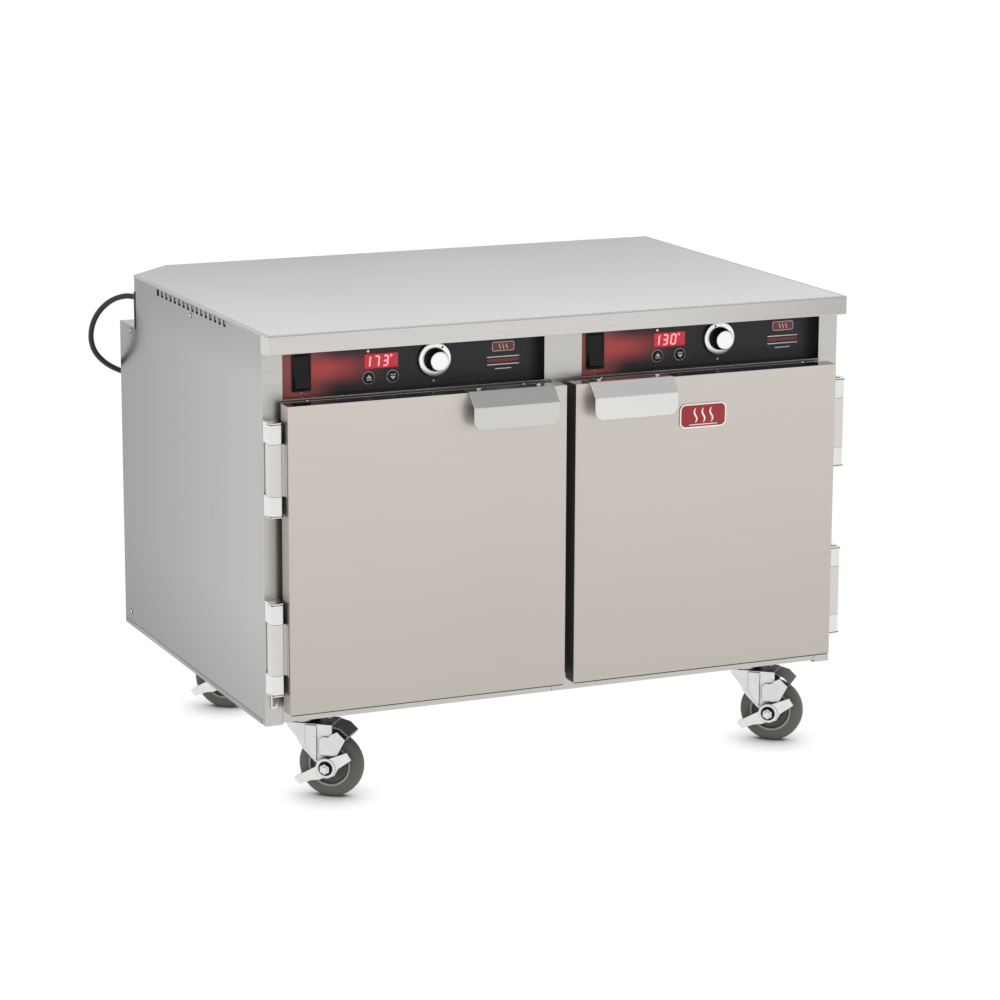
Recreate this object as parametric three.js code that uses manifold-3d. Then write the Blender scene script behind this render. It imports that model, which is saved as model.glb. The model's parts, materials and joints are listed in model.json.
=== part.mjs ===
// Low two-door heated holding cabinet on four swivel casters.
// Millimetres, +Z up, front towards -Y, origin on the floor under the middle of the cabinet.
import * as THREE from 'three';
import { mergeVertices } from 'three/addons/utils/BufferGeometryUtils.js';
import Module from 'manifold-3d';

const wasm = await Module();
wasm.setup();

// ---------------------------------------------------------------- driving dimensions
const WIDTH = 1200; // casing, side to side
const DEPTH = 850; // front frame face to back panel
const BOTTOM = 178; // lowest edge of the casing above the floor
const TOP = 923; // work surface above the floor
const GAP = 0.3; // clearance between pieces that touch
const SHEET = 2; // casing sheet
const HANDLE_REACH = 82; // handle in front of the front frame
const HOOK_REACH = 46; // cord hook behind the back panel

const FRONT = HANDLE_REACH - (HANDLE_REACH + DEPTH + HOOK_REACH) / 2;
const BACK = FRONT + DEPTH;
const HALF = WIDTH / 2;

const TOP_SHEET = 4;
const OVERHANG = 2;
const LIP_REACH = 34;
const LIP_HEIGHT = 36;
const CHAMFER = 100; // cut-off rear left corner
const NOTCH_BOTTOM = 815;
const CASING_TOP = TOP - TOP_SHEET - GAP;

const FRAME_DEPTH = 18;
const RAIL_BOTTOM = 182;
const PANEL_RECESS = 30;
const PANEL_SHIFT = 600; // right controls repeat the left ones this far along
const CONTROL_BOTTOM = 797;
const CONTROL_TOP = 890;
const CONTROL_OPENINGS = { left: [-560, -32], right: [46, 560] };
const ROOM = { inner: 22, outer: 548, bottom: 226, top: 778 };
const ROOM_BACK = BACK - 70;

const DOOR = { inner: 9.5, outer: 570, bottom: 210, top: 794, front: FRONT - 54, back: FRONT - 17 };
const HANDLE = { inner: 37, outer: 212, fold: 769, bottom: 727, sheet: 2, corner: 18 };

const HINGE_AXIS = { x: 590, y: FRONT - 24 };
const HINGE_BODY = { inner: 574.5, outer: 599.5, reach: 38 };
const HINGE_HEIGHT = 178;
const HINGE_CENTRES = { upper: 673, lower: 333 };
const HINGE_MIDDLE = 98;

const WHEEL_RADIUS = 63.5;
const WHEEL_WIDTH = 32;
const CASTER_TOP = 160;
const CASTER_INSET = { front: { x: 122, y: 122 }, rear: { x: 138, y: 69 } };
const CASTER_TRAIL = 56;
const CASTER_TURN = -40; // degrees, trailing towards the right front

const CORD_RADIUS = 6;
const COIL = { x: -230.1, y: 590, inner: 41.2, outer: 79.4, top: 25.8, floor: 1 };

// ---------------------------------------------------------------- solids
function solidOf(geometry) {
  const plain = geometry.clone();
  plain.deleteAttribute('normal');
  plain.deleteAttribute('uv');
  const merged = mergeVertices(plain, 1e-4);
  return new wasm.Manifold(new wasm.Mesh({
    numProp: 3,
    vertProperties: new Float32Array(merged.attributes.position.array),
    triVerts: new Uint32Array(merged.index.array),
  }));
}

function geometryOf(solid) {
  const mesh = solid.getMesh();
  const geometry = new THREE.BufferGeometry();
  geometry.setAttribute('position', new THREE.BufferAttribute(mesh.vertProperties, 3));
  geometry.setIndex(new THREE.BufferAttribute(mesh.triVerts, 1));
  geometry.computeVertexNormals();
  return geometry;
}

function join(...geometries) {
  return geometryOf(geometries.map(solidOf).reduce((sum, next) => sum.add(next)));
}

function cut(geometry, ...tools) {
  return geometryOf(tools.map(solidOf).reduce((rest, tool) => rest.subtract(tool), solidOf(geometry)));
}

function common(first, second) {
  return geometryOf(solidOf(first).intersect(solidOf(second)));
}

function box([x0, x1], [y0, y1], [z0, z1]) {
  const geometry = new THREE.BoxGeometry(Math.abs(x1 - x0), Math.abs(y1 - y0), Math.abs(z1 - z0));
  return geometry.translate((x0 + x1) / 2, (y0 + y1) / 2, (z0 + z1) / 2);
}

function outline(points) {
  return new THREE.Shape(points.map(([x, y]) => new THREE.Vector2(x, y)));
}

// Plan outline (x, y) raised from z0 to z1.
function raise(shape, z0, z1, curveSegments = 8) {
  const settings = { depth: z1 - z0, bevelEnabled: false, curveSegments };
  return new THREE.ExtrudeGeometry(shape, settings).translate(0, 0, z0);
}

// Side profile (y, z) drawn out along x from x0 to x1.
function drawAlongX(points, x0, x1) {
  const settings = { depth: Math.abs(x1 - x0), bevelEnabled: false };
  const geometry = new THREE.ExtrudeGeometry(outline(points), settings);
  geometry.applyMatrix4(new THREE.Matrix4().set(0, 0, 1, 0, 1, 0, 0, 0, 0, 1, 0, 0, 0, 0, 0, 1));
  return geometry.translate(Math.min(x0, x1), 0, 0);
}

// Front outline (x, z) drawn out along y from y0 to y1.
function drawAlongY(shape, y0, y1, curveSegments = 8) {
  const settings = { depth: y1 - y0, bevelEnabled: false, curveSegments };
  const geometry = new THREE.ExtrudeGeometry(shape, settings);
  return geometry.rotateX(Math.PI / 2).translate(0, y1, 0);
}

// Round bar between two points.
function rod(from, to, radius, sides = 8) {
  const start = new THREE.Vector3(...from);
  const span = new THREE.Vector3(...to).sub(start);
  const geometry = new THREE.CylinderGeometry(radius, radius, span.length(), sides);
  const turn = new THREE.Quaternion().setFromUnitVectors(new THREE.Vector3(0, 1, 0), span.clone().normalize());
  return geometry.applyQuaternion(turn).translate(...start.addScaledVector(span, 0.5).toArray());
}

// Solid of revolution about the y axis from (radius, y) pairs.
function turned(profile, segments) {
  return new THREE.LatheGeometry(profile.map(([r, y]) => new THREE.Vector2(r, y)), segments);
}

function mirrored(side, [a, b]) {
  return side < 0 ? [-b, -a] : [a, b];
}

// ---------------------------------------------------------------- assembly
const cabinet = new THREE.Group();

function finish(color, roughness, metalness) {
  return () => new THREE.MeshStandardMaterial({ color, roughness, metalness });
}

const brushed = finish(0xc4c1bb, 0.34, 1);
const doorSteel = finish(0xc8c2b9, 0.36, 1);
const galvanised = finish(0x9fa2a3, 0.5, 1);
const chrome = finish(0xe4e5e6, 0.14, 1);
const castSteel = finish(0xd3d4d4, 0.28, 1);
const blackPanel = finish(0x2b2b2d, 0.42, 0);
const blackPlastic = finish(0x151516, 0.4, 0);
const blackRubber = finish(0x1d1d1d, 0.8, 0);
const tread = finish(0x55534c, 0.7, 0);
const sheathed = finish(0x6b6460, 0.55, 1);

function piece(name, geometry, material, parent = cabinet) {
  const mesh = new THREE.Mesh(geometry, material());
  mesh.name = name;
  parent.add(mesh);
  return mesh;
}

// ---------------------------------------------------------------- cabinet shell
function cornerTriangle(grow) {
  const reach = CHAMFER + grow;
  return outline([[-HALF - 40, BACK - reach - 40], [-HALF + reach + 40, BACK + 40], [-HALF - 40, BACK + 40]]);
}

function worktop() {
  const side = HALF + OVERHANG;
  const back = BACK + OVERHANG;
  const front = FRONT - LIP_REACH;
  const plan = outline([
    [-side, front], [side, front], [side, back],
    [-HALF + CHAMFER, back], [-side, BACK - CHAMFER],
  ]);
  const sheet = raise(plan, TOP - TOP_SHEET, TOP);
  const lip = box([-side, side], [front, FRONT - GAP], [TOP - LIP_HEIGHT, TOP - 1]);
  const fold = box([-side + SHEET, side - SHEET], [front + SHEET, FRONT], [TOP - LIP_HEIGHT + SHEET, TOP - TOP_SHEET]);
  return join(sheet, cut(lip, fold));
}

const VENT = { count: 16, first: FRONT + 203, pitch: 26.3, width: 13, bottom: 903, top: 916 };

function ventSlots(side) {
  const wall = [side * (HALF + 5), side * (HALF - 5)];
  return Array.from({ length: VENT.count }, (_, i) => {
    const y = VENT.first + i * VENT.pitch;
    return box(wall, [y - VENT.width / 2, y + VENT.width / 2], [VENT.bottom, VENT.top]);
  });
}

const PORT = new THREE.Vector3(-HALF + CHAMFER / 2, BACK - CHAMFER / 2, 866);
const PORT_OUT = new THREE.Vector3(-1, 1, 0).normalize();

function alongPort(distance) {
  return PORT.clone().addScaledVector(PORT_OUT, distance).toArray();
}

function casing() {
  const front = FRONT + FRAME_DEPTH + GAP;
  const shell = cut(
    box([-HALF, HALF], [front, BACK], [BOTTOM, CASING_TOP]),
    box([-HALF + SHEET, HALF - SHEET], [front - 1, BACK - SHEET], [BOTTOM - 1, CASING_TOP + 1]),
  );
  const sheetAcross = SHEET * Math.SQRT2;
  const corner = common(
    raise(cornerTriangle(sheetAcross), NOTCH_BOTTOM - SHEET, CASING_TOP),
    box([-HALF, HALF], [front, BACK], [BOTTOM, CASING_TOP]),
  );
  const notch = raise(cornerTriangle(0), NOTCH_BOTTOM, CASING_TOP + 1);
  const port = rod(alongPort(-10), alongPort(10), 11.5, 24);
  return cut(join(shell, corner), notch, port, ...ventSlots(-1), ...ventSlots(1));
}

// The frame is folded sheet, so every stile and rail is open at the back.
function framePockets() {
  const depth = [FRONT + SHEET, FRONT + FRAME_DEPTH + 1];
  const inStile = [HALF - 38, HALF - SHEET];
  const acrossRails = [-(HALF - 40), HALF - 40];
  const rails = [[RAIL_BOTTOM, ROOM.bottom], [ROOM.top, CONTROL_BOTTOM], [CONTROL_TOP, CASING_TOP]];
  const mullion = CONTROL_OPENINGS.left[1] + SHEET;
  return [
    ...[-1, 1].map((side) => box(mirrored(side, inStile), depth, [BOTTOM + SHEET, CASING_TOP - SHEET])),
    ...rails.map(([z0, z1]) => box(acrossRails, depth, [z0 + SHEET, z1 - SHEET])),
    box([-ROOM.inner + SHEET, ROOM.inner - SHEET], depth, [ROOM.bottom, ROOM.top - SHEET]),
    box([mullion, CONTROL_OPENINGS.right[0] - SHEET], depth, [CONTROL_BOTTOM, CONTROL_TOP - SHEET]),
  ];
}

function frontFrame() {
  const thick = [FRONT, FRONT + FRAME_DEPTH];
  const through = [FRONT - 1, FRONT + FRAME_DEPTH + 1];
  const rooms = [-1, 1].map((side) => (
    box(mirrored(side, [ROOM.inner, ROOM.outer]), through, [ROOM.bottom, ROOM.top])
  ));
  const controls = Object.values(CONTROL_OPENINGS).map((span) => (
    box(span, through, [CONTROL_BOTTOM, CONTROL_TOP])
  ));
  const underRail = box([-566, 566], through, [BOTTOM - 1, RAIL_BOTTOM]);
  return cut(box([-HALF, HALF], thick, [BOTTOM, CASING_TOP]), ...rooms, ...controls, ...framePockets(), underRail);
}

const CASTER_SPOT = {
  front: { x: HALF - CASTER_INSET.front.x, y: FRONT + CASTER_INSET.front.y },
  rear: { x: HALF - CASTER_INSET.rear.x, y: BACK - CASTER_INSET.rear.y },
};

function baseFrame() {
  const x = HALF - SHEET - GAP;
  const span = [FRONT + FRAME_DEPTH + GAP, BACK - SHEET - GAP];
  const tray = cut(
    box([-x, x], span, [RAIL_BOTTOM, RAIL_BOTTOM + 18]),
    box([-x + 3, x - 3], [span[0] + 3, span[1] - 3], [RAIL_BOTTOM + 3, RAIL_BOTTOM + 30]),
  );
  const ribs = [-200, 200].map((x0) => (
    box([x0 - 20, x0 + 20], [span[0] + 1, span[1] - 1], [RAIL_BOTTOM + 1, RAIL_BOTTOM + 12])
  ));
  return join(tray, ...ribs);
}

function liner(side) {
  const front = FRONT + FRAME_DEPTH + GAP;
  const outer = mirrored(side, [ROOM.inner - SHEET, ROOM.outer + SHEET]);
  const inner = mirrored(side, [ROOM.inner, ROOM.outer]);
  return cut(
    box(outer, [front, ROOM_BACK], [ROOM.bottom - SHEET, ROOM.top + SHEET]),
    box(inner, [front - 1, ROOM_BACK - SHEET], [ROOM.bottom, ROOM.top]),
  );
}

// Side ladders with pan ledges, held apart by cross rods top and bottom.
function rack(side) {
  const inset = 8;
  const [x0, x1] = mirrored(side, [ROOM.inner + inset, ROOM.outer - inset]);
  const posts = [FRONT + 70, ROOM_BACK - 50];
  const low = ROOM.bottom + GAP;
  const high = ROOM.top - 12;
  const bars = [];
  for (const y of posts) {
    bars.push(rod([x0, y, low], [x0, y, high], 4, 6), rod([x1, y, low], [x1, y, high], 4, 6));
    bars.push(rod([x0, y, low + 12], [x1, y, low + 12], 3.5, 6), rod([x0, y, high - 6], [x1, y, high - 6], 3.5, 6));
  }
  const ledges = 6;
  for (let i = 0; i < ledges; i += 1) {
    const z = low + 60 + i * 76;
    const along = [posts[0] - 20, posts[1] + 20];
    bars.push(box([x0 - 2, x0 + 18], along, [z, z + 2.5]), box([x1 - 18, x1 + 2], along, [z, z + 2.5]));
  }
  return join(...bars);
}

// Sheathed element that winds to and fro under the compartment floor.
function heater(side) {
  const [x0, x1] = mirrored(side, [70, 500]);
  const z = (RAIL_BOTTOM + ROOM.bottom) / 2 + 3;
  const runs = 5;
  const pitch = 120;
  const start = FRONT + 90;
  const bend = pitch / 2;
  const path = new THREE.CurvePath();
  let from = new THREE.Vector3(x0, start, z);
  for (let i = 0; i < runs; i += 1) {
    const y = start + i * pitch;
    const goingRight = i % 2 === 0;
    const to = new THREE.Vector3(goingRight ? x1 - bend : x0 + bend, y, z);
    path.add(new THREE.LineCurve3(from, to));
    if (i === runs - 1) {
      break;
    }
    const out = goingRight ? bend : -bend;
    const next = new THREE.Vector3(to.x, y + pitch, z);
    const corner = new THREE.Vector3(to.x + out, y, z);
    const side2 = new THREE.Vector3(to.x + out, y + pitch / 2, z);
    const corner2 = new THREE.Vector3(to.x + out, y + pitch, z);
    path.add(new THREE.QuadraticBezierCurve3(to, corner, side2));
    path.add(new THREE.QuadraticBezierCurve3(side2, corner2, next));
    from = next;
  }
  const section = new THREE.Shape().absarc(0, 0, 5, 0, 2 * Math.PI);
  return new THREE.ExtrudeGeometry(section, { steps: 48, curveSegments: 3, extrudePath: path });
}

piece('worktop', worktop(), brushed);
piece('casing', casing(), brushed);
piece('front_frame', frontFrame(), brushed);
piece('base_frame', baseFrame(), galvanised);
for (const [name, side] of [['left', -1], ['right', 1]]) {
  piece(`${name}_liner`, liner(side), galvanised);
  piece(`${name}_rack`, rack(side), chrome);
  piece(`${name}_heater`, heater(side), sheathed);
}

// ---------------------------------------------------------------- controls
const ROCKER = { x: -512.5, z: 840, width: 30, height: 60.5, holeWidth: 31, holeHeight: 65, tilt: 7 };
const KNOB = { x: -247, z: 847, skirt: 33, grip: 23, cap: 20.5, shaft: 4 };
const BUTTON = { x: [-378.4, -330], z: 820, radius: 11 };
const PANEL_FACE = FRONT + PANEL_RECESS;

function controlPanel(span, shift) {
  const front = FRONT + FRAME_DEPTH + GAP;
  const hollow = [span[0], span[1]];
  const tray = cut(
    box([span[0] - SHEET, span[1] + SHEET], [front, PANEL_FACE + SHEET], [CONTROL_BOTTOM - SHEET, CONTROL_TOP + SHEET]),
    box(hollow, [front - 1, PANEL_FACE], [CONTROL_BOTTOM, CONTROL_TOP]),
  );
  const x = ROCKER.x + shift;
  const bezel = box([x - 18, x + 18], [PANEL_FACE - 2.5, PANEL_FACE + 1], [ROCKER.z - 35, ROCKER.z + 35]);
  const across = [PANEL_FACE - 10, PANEL_FACE + 10];
  const rockerHole = box(
    [x - ROCKER.holeWidth / 2, x + ROCKER.holeWidth / 2], across,
    [ROCKER.z - ROCKER.holeHeight / 2, ROCKER.z + ROCKER.holeHeight / 2],
  );
  const round = (cx, cz, radius) => rod([cx + shift, across[0], cz], [cx + shift, across[1], cz], radius, 24);
  const holes = [
    round(KNOB.x, KNOB.z, KNOB.shaft + 0.6),
    ...BUTTON.x.map((bx) => round(bx, BUTTON.z, BUTTON.radius + 0.5)),
  ];
  return cut(join(tray, bezel), rockerHole, ...holes);
}

function rocker() {
  const half = ROCKER.height / 2;
  const profile = [[7, -half + 3], [7, half - 3], [-1, half], [-7, half], [-3, 2], [-3, -2], [-7, -half], [-1, -half]];
  return drawAlongX(profile, -ROCKER.width / 2, ROCKER.width / 2);
}

// The knob's axis runs along y, its face towards the front.
function knob() {
  const profile = [
    [0, -32], [KNOB.cap - 1, -32], [KNOB.cap + 1, -30], [KNOB.grip + 1, -10], [KNOB.grip + 2, -8],
    [KNOB.skirt - 2.5, -8], [KNOB.skirt, -5.5], [KNOB.skirt, -1], [KNOB.shaft, -1], [KNOB.shaft, 10], [0, 10],
  ];
  return turned(profile, 28);
}

function button() {
  const profile = [[0, -2.5], [BUTTON.radius - 1.2, -2.5], [BUTTON.radius, -1.5], [BUTTON.radius, 8], [0, 8]];
  return turned(profile, 24);
}

for (const [name, shift] of [['left', 0], ['right', PANEL_SHIFT]]) {
  piece(`${name}_control_panel`, controlPanel(CONTROL_OPENINGS[name], shift), blackPanel);
  const rockerMesh = piece(`${name}_rocker`, rocker(), blackPlastic);
  rockerMesh.position.set(ROCKER.x + shift, PANEL_FACE, ROCKER.z);
  rockerMesh.rotation.x = -THREE.MathUtils.degToRad(ROCKER.tilt);
  piece(`${name}_knob`, knob(), chrome).position.set(KNOB.x + shift, PANEL_FACE, KNOB.z);
  BUTTON.x.forEach((x, i) => {
    const label = ['up', 'down'][i];
    piece(`${name}_${label}_button`, button(), blackPlastic).position.set(x + shift, PANEL_FACE, BUTTON.z);
  });
}

// ---------------------------------------------------------------- doors
// Foam-filled pan of folded sheet, with a weep hole in its lower edge.
function doorPanel(side) {
  const span = mirrored(side, [DOOR.inner, DOOR.outer]);
  const sheet = 1.5;
  const weep = side * (DOOR.inner + 60);
  const middle = (DOOR.front + DOOR.back) / 2;
  return cut(
    box(span, [DOOR.front, DOOR.back], [DOOR.bottom, DOOR.top]),
    box([span[0] + sheet, span[1] - sheet], [DOOR.front + sheet, DOOR.back - sheet], [DOOR.bottom + sheet, DOOR.top - sheet]),
    rod([weep, middle, DOOR.bottom - 2], [weep, middle, DOOR.bottom + 4], 4, 12),
  );
}

function gasket(side) {
  const [x0, x1] = mirrored(side, [DOOR.inner + 6, DOOR.outer - 12]);
  const rim = 12;
  const depth = [DOOR.back + GAP, FRONT - 0.6];
  const cutDepth = [depth[0] - 1, depth[1] + 1];
  return cut(
    box([x0, x1], depth, [DOOR.bottom + 6, DOOR.top - 6]),
    box([x0 + rim, x1 - rim], cutDepth, [DOOR.bottom + 6 + rim, DOOR.top - 6 - rim]),
  );
}

// Bent sheet pull: a flange screwed to the top edge of the door, a slope, and an upright grip.
function handle(side) {
  const [x0, x1] = mirrored(side, [HANDLE.inner, HANDLE.outer]);
  const t = HANDLE.sheet;
  const face = FRONT - HANDLE_REACH;
  const top = DOOR.top + GAP;
  const section = [
    [DOOR.front + 26, top], [DOOR.front + 26, top + t], [DOOR.front - 2, top + t], [face, HANDLE.fold],
    [face, HANDLE.bottom], [face + t, HANDLE.bottom], [face + t, HANDLE.fold - 0.8], [DOOR.front - 1, top],
  ];
  const r = HANDLE.corner;
  const front = new THREE.Shape();
  front.moveTo(x0, top + 10);
  front.lineTo(x0, HANDLE.bottom + r);
  front.absarc(x0 + r, HANDLE.bottom + r, r, Math.PI, 1.5 * Math.PI, false);
  front.absarc(x1 - r, HANDLE.bottom + r, r, 1.5 * Math.PI, 2 * Math.PI, false);
  front.lineTo(x1, top + 10);
  return common(drawAlongX(section, x0, x1), drawAlongY(front, face - 5, DOOR.front + 40));
}

for (const [name, side] of [['left', -1], ['right', 1]]) {
  piece(`${name}_door`, doorPanel(side), doorSteel);
  piece(`${name}_door_gasket`, gasket(side), blackRubber);
  piece(`${name}_door_handle`, handle(side), brushed);
}

// ---------------------------------------------------------------- hinges
const PIN = 4;
const HINGE_BEVEL = 3;

// Plan outline of an end knuckle: a box against the frame with its front corners cut off.
function knuckleOutline() {
  const { inner, outer, reach } = HINGE_BODY;
  const face = FRONT - reach;
  return outline([
    [inner, FRONT - GAP], [inner, face + HINGE_BEVEL], [inner + HINGE_BEVEL, face],
    [outer - HINGE_BEVEL, face], [outer, face + HINGE_BEVEL], [outer, FRONT - GAP],
  ]);
}

// The middle knuckle has the same front, and a back rounded so that it turns clear of the frame.
function middleOutline() {
  const { inner, outer, reach } = HINGE_BODY;
  const face = FRONT - reach;
  return outline([
    [inner, HINGE_AXIS.y + 8], [inner, face + HINGE_BEVEL], [inner + HINGE_BEVEL, face],
    [outer - HINGE_BEVEL, face], [outer, face + HINGE_BEVEL], [outer, HINGE_AXIS.y + 12],
    [outer - 5, HINGE_AXIS.y + 16], [inner + 8, HINGE_AXIS.y + 16],
  ]);
}

function frameLeaf() {
  const { x, y } = HINGE_AXIS;
  const end = HINGE_HEIGHT / 2;
  const inner = HINGE_MIDDLE / 2;
  const plate = box([HINGE_BODY.inner, HINGE_BODY.outer], [FRONT - 2.2, FRONT - GAP], [-end, end]);
  const knuckles = [raise(knuckleOutline(), inner + GAP, end), raise(knuckleOutline(), -end, -inner - GAP)];
  const bore = rod([x, y, -end + 3], [x, y, end - 3], PIN + 0.3, 16);
  return cut(join(plate, ...knuckles), bore);
}

function doorLeaf() {
  const { x, y } = HINGE_AXIS;
  const inner = HINGE_MIDDLE / 2;
  const barrel = raise(middleOutline(), -inner, inner);
  const pin = rod([x, y, -HINGE_HEIGHT / 2 + 4], [x, y, HINGE_HEIGHT / 2 - 4], PIN, 16);
  const arm = box([DOOR.outer + GAP, HINGE_BODY.inner + 2], [y - 12, y - 8], [-inner, inner]);
  const leaf = box([DOOR.outer + GAP, DOOR.outer + 1.8], [DOOR.front + 6, y - 8], [-inner, inner]);
  return join(barrel, pin, arm, leaf);
}

function mirrorX(geometry) {
  const copy = geometry.clone().scale(-1, 1, 1);
  const order = copy.index.array;
  for (let i = 0; i < order.length; i += 3) {
    [order[i], order[i + 1]] = [order[i + 1], order[i]];
  }
  copy.computeVertexNormals();
  return copy;
}

for (const [name, side] of [['left', -1], ['right', 1]]) {
  for (const [level, z] of Object.entries(HINGE_CENTRES)) {
    const sided = (geometry) => (side < 0 ? mirrorX(geometry) : geometry);
    piece(`${name}_${level}_hinge_frame_leaf`, sided(frameLeaf()), chrome).position.z = z;
    piece(`${name}_${level}_hinge_door_leaf`, sided(doorLeaf()), castSteel).position.z = z;
  }
}

// ---------------------------------------------------------------- casters
// Each caster is drawn about its swivel axis with the wheel trailing along +x, brake gear on its -y side.
const FORK = { inner: 27, outer: 30, front: -26, rear: 66, top: 147.7, plate: 3.7 };
const ARM_FACE = -FORK.outer - 3.5;
const LEVER = { back: ARM_FACE - GAP, face: ARM_FACE - GAP - 4 };
const NUT = 10;

// Top plate with its spacer block below the base frame, and the swivel head under it.
function casterPlate() {
  const block = box([-55, 55], [-48, 48], [CASTER_TOP - 1, RAIL_BOTTOM - GAP]);
  const plate = box([-50, 50], [-43, 43], [CASTER_TOP - 3.3, CASTER_TOP]);
  const profile = [
    [0, 137], [NUT, 137], [NUT, FORK.top - FORK.plate - GAP], [7, FORK.top - FORK.plate - GAP],
    [7, FORK.top + GAP], [29, FORK.top + GAP], [33, FORK.top + 3], [33, CASTER_TOP - 2], [0, CASTER_TOP - 2],
  ];
  const swivel = turned(profile, 20).rotateX(Math.PI / 2);
  return join(block, plate, swivel);
}

function legOutline() {
  const leg = new THREE.Shape();
  leg.moveTo(FORK.front, FORK.top);
  leg.lineTo(-23, 139);
  leg.lineTo(-6, 120);
  leg.lineTo(4, 101);
  leg.lineTo(36, 69);
  leg.absarc(CASTER_TRAIL, WHEEL_RADIUS, 18, 0.95 * Math.PI, 2.1 * Math.PI, false);
  leg.lineTo(FORK.rear, 124);
  leg.lineTo(FORK.rear, FORK.top);
  return leg;
}

// Fan-shaped plate that carries the brake shoe, lying on the outside of the near leg.
function shoeArm() {
  const fan = outline([
    [42, 88], [77, 88], [94, 121], [84, 130], [78, 136], [66, 130], [60, 124], [48, 124], [42, 118],
  ]);
  return drawAlongY(fan, ARM_FACE, -FORK.outer);
}

// Hood of the brake shoe: a sheet that slopes from the crown down behind the wheel, with a turned lip.
function brakeHood() {
  return drawAlongY(outline([
    [60, 145.5], [68, 145.5], [85, 141], [100, 127], [96, 120.5], [93.5, 121.5],
    [96.5, 127], [84, 138.3], [68, 142.5], [60, 142.5],
  ]), -FORK.outer, FORK.outer);
}

function fork() {
  const legs = [[-FORK.outer, -FORK.inner], [FORK.inner, FORK.outer]].map(([y0, y1]) => (
    drawAlongY(legOutline(), y0, y1)
  ));
  const crown = box([FORK.front, FORK.rear], [-FORK.outer, FORK.outer], [FORK.top - FORK.plate, FORK.top]);
  const web = drawAlongY(outline([
    [FORK.front, FORK.top], [-22.5, FORK.top], [-19.5, 140], [-3, 121.6], [-6, 120], [-23, 139],
  ]), -FORK.outer, FORK.outer);
  const body = join(...legs, crown, web, shoeArm(), brakeHood());
  const kingpin = rod([0, 0, 130], [0, 0, 160], 7.4, 24);
  const axleHole = alongAxle(-50, 50, 6.3, 24);
  return cut(body, kingpin, axleHole);
}

function alongAxle(from, to, radius, sides) {
  return rod([CASTER_TRAIL, from, WHEEL_RADIUS], [CASTER_TRAIL, to, WHEEL_RADIUS], radius, sides);
}

function axle() {
  const head = alongAxle(FORK.outer + GAP, FORK.outer + 7.5, 9.5, 6);
  const nut = alongAxle(LEVER.face - 8.2, LEVER.face - GAP, 10.5, 6);
  return join(alongAxle(LEVER.face - 10.5, FORK.outer + 4, 6, 16), head, nut);
}

function wheel() {
  const half = WHEEL_WIDTH / 2;
  const right = [
    [6.3, FORK.inner - 0.5], [13, FORK.inner - 0.5], [15, half - 6], [34, half - 6], [41, half],
    [55, half - 0.5], [WHEEL_RADIUS, half - 8],
  ];
  const left = right.map(([r, y]) => [r, -y]).reverse();
  const loop = [...left, ...right];
  loop.push(loop[0]);
  loop.reverse();
  return turned(loop, 30).translate(CASTER_TRAIL, 0, WHEEL_RADIUS);
}

// Two-armed brake lever on the axle: a step-on pedal ahead of the wheel and a release arm behind it.
function brakeLever() {
  const x = CASTER_TRAIL;
  const z = WHEEL_RADIUS;
  const plate = new THREE.Shape();
  plate.moveTo(x - 64, z - 24);
  plate.lineTo(x - 54, z - 17.5);
  plate.lineTo(x - 20, z + 2);
  plate.absarc(x, z, 20, 0.9 * Math.PI, 0.4 * Math.PI, true);
  plate.lineTo(x + 42, z + 34);
  plate.lineTo(x + 51, z + 20);
  plate.lineTo(x + 25, z + 1);
  plate.lineTo(x + 17, z - 14);
  plate.absarc(x, z, 19, 1.65 * Math.PI, 1.45 * Math.PI, true);
  plate.lineTo(x - 12, z - 23);
  plate.lineTo(x - 30, z - 26);
  plate.lineTo(x - 53, z - 36);
  const tread = outline([[x - 64, z - 24], [x - 54, z - 17.5], [x - 52.6, z - 19.8], [x - 62.6, z - 26.3]]);
  const lever = join(drawAlongY(plate, LEVER.face, LEVER.back), drawAlongY(tread, LEVER.face, -20));
  return cut(lever, alongAxle(-60, 0, 6.4, 24));
}

for (const [end, spot] of Object.entries(CASTER_SPOT)) {
  for (const [name, side] of [['left', -1], ['right', 1]]) {
    const caster = new THREE.Group();
    caster.position.set(side * spot.x, spot.y, 0);
    caster.rotation.z = THREE.MathUtils.degToRad(CASTER_TURN);
    cabinet.add(caster);
    const label = `${end}_${name}_caster`;
    piece(`${label}_plate`, casterPlate(), chrome, caster).rotation.z = -caster.rotation.z;
    piece(`${label}_fork`, fork(), chrome, caster);
    piece(`${label}_axle`, axle(), chrome, caster);
    piece(`${label}_wheel`, wheel(), tread, caster);
    piece(`${label}_brake`, brakeLever(), castSteel, caster);
  }
}

// ---------------------------------------------------------------- power cord
const GLAND_LENGTH = 36;

// Screwed gland with a tapered strain relief, drawn along +y from the face of the corner plate.
function gland() {
  const profile = [
    [0, -9], [15, -9], [15, -2.6], [10.8, -2.6], [10.8, GAP], [16, GAP], [16, 7], [11, 8.5],
    [10, 14], [7.6, GLAND_LENGTH], [0, GLAND_LENGTH],
  ];
  return turned(profile, 16);
}

const glandMesh = piece('cord_gland', gland(), blackRubber);
glandMesh.position.copy(PORT);
glandMesh.quaternion.setFromUnitVectors(new THREE.Vector3(0, 1, 0), PORT_OUT);

// Saddle on the back panel that the slack of the cord lies over.
const SADDLE = { x: -361, z: 653, radius: 50, sheet: 3 };

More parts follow.
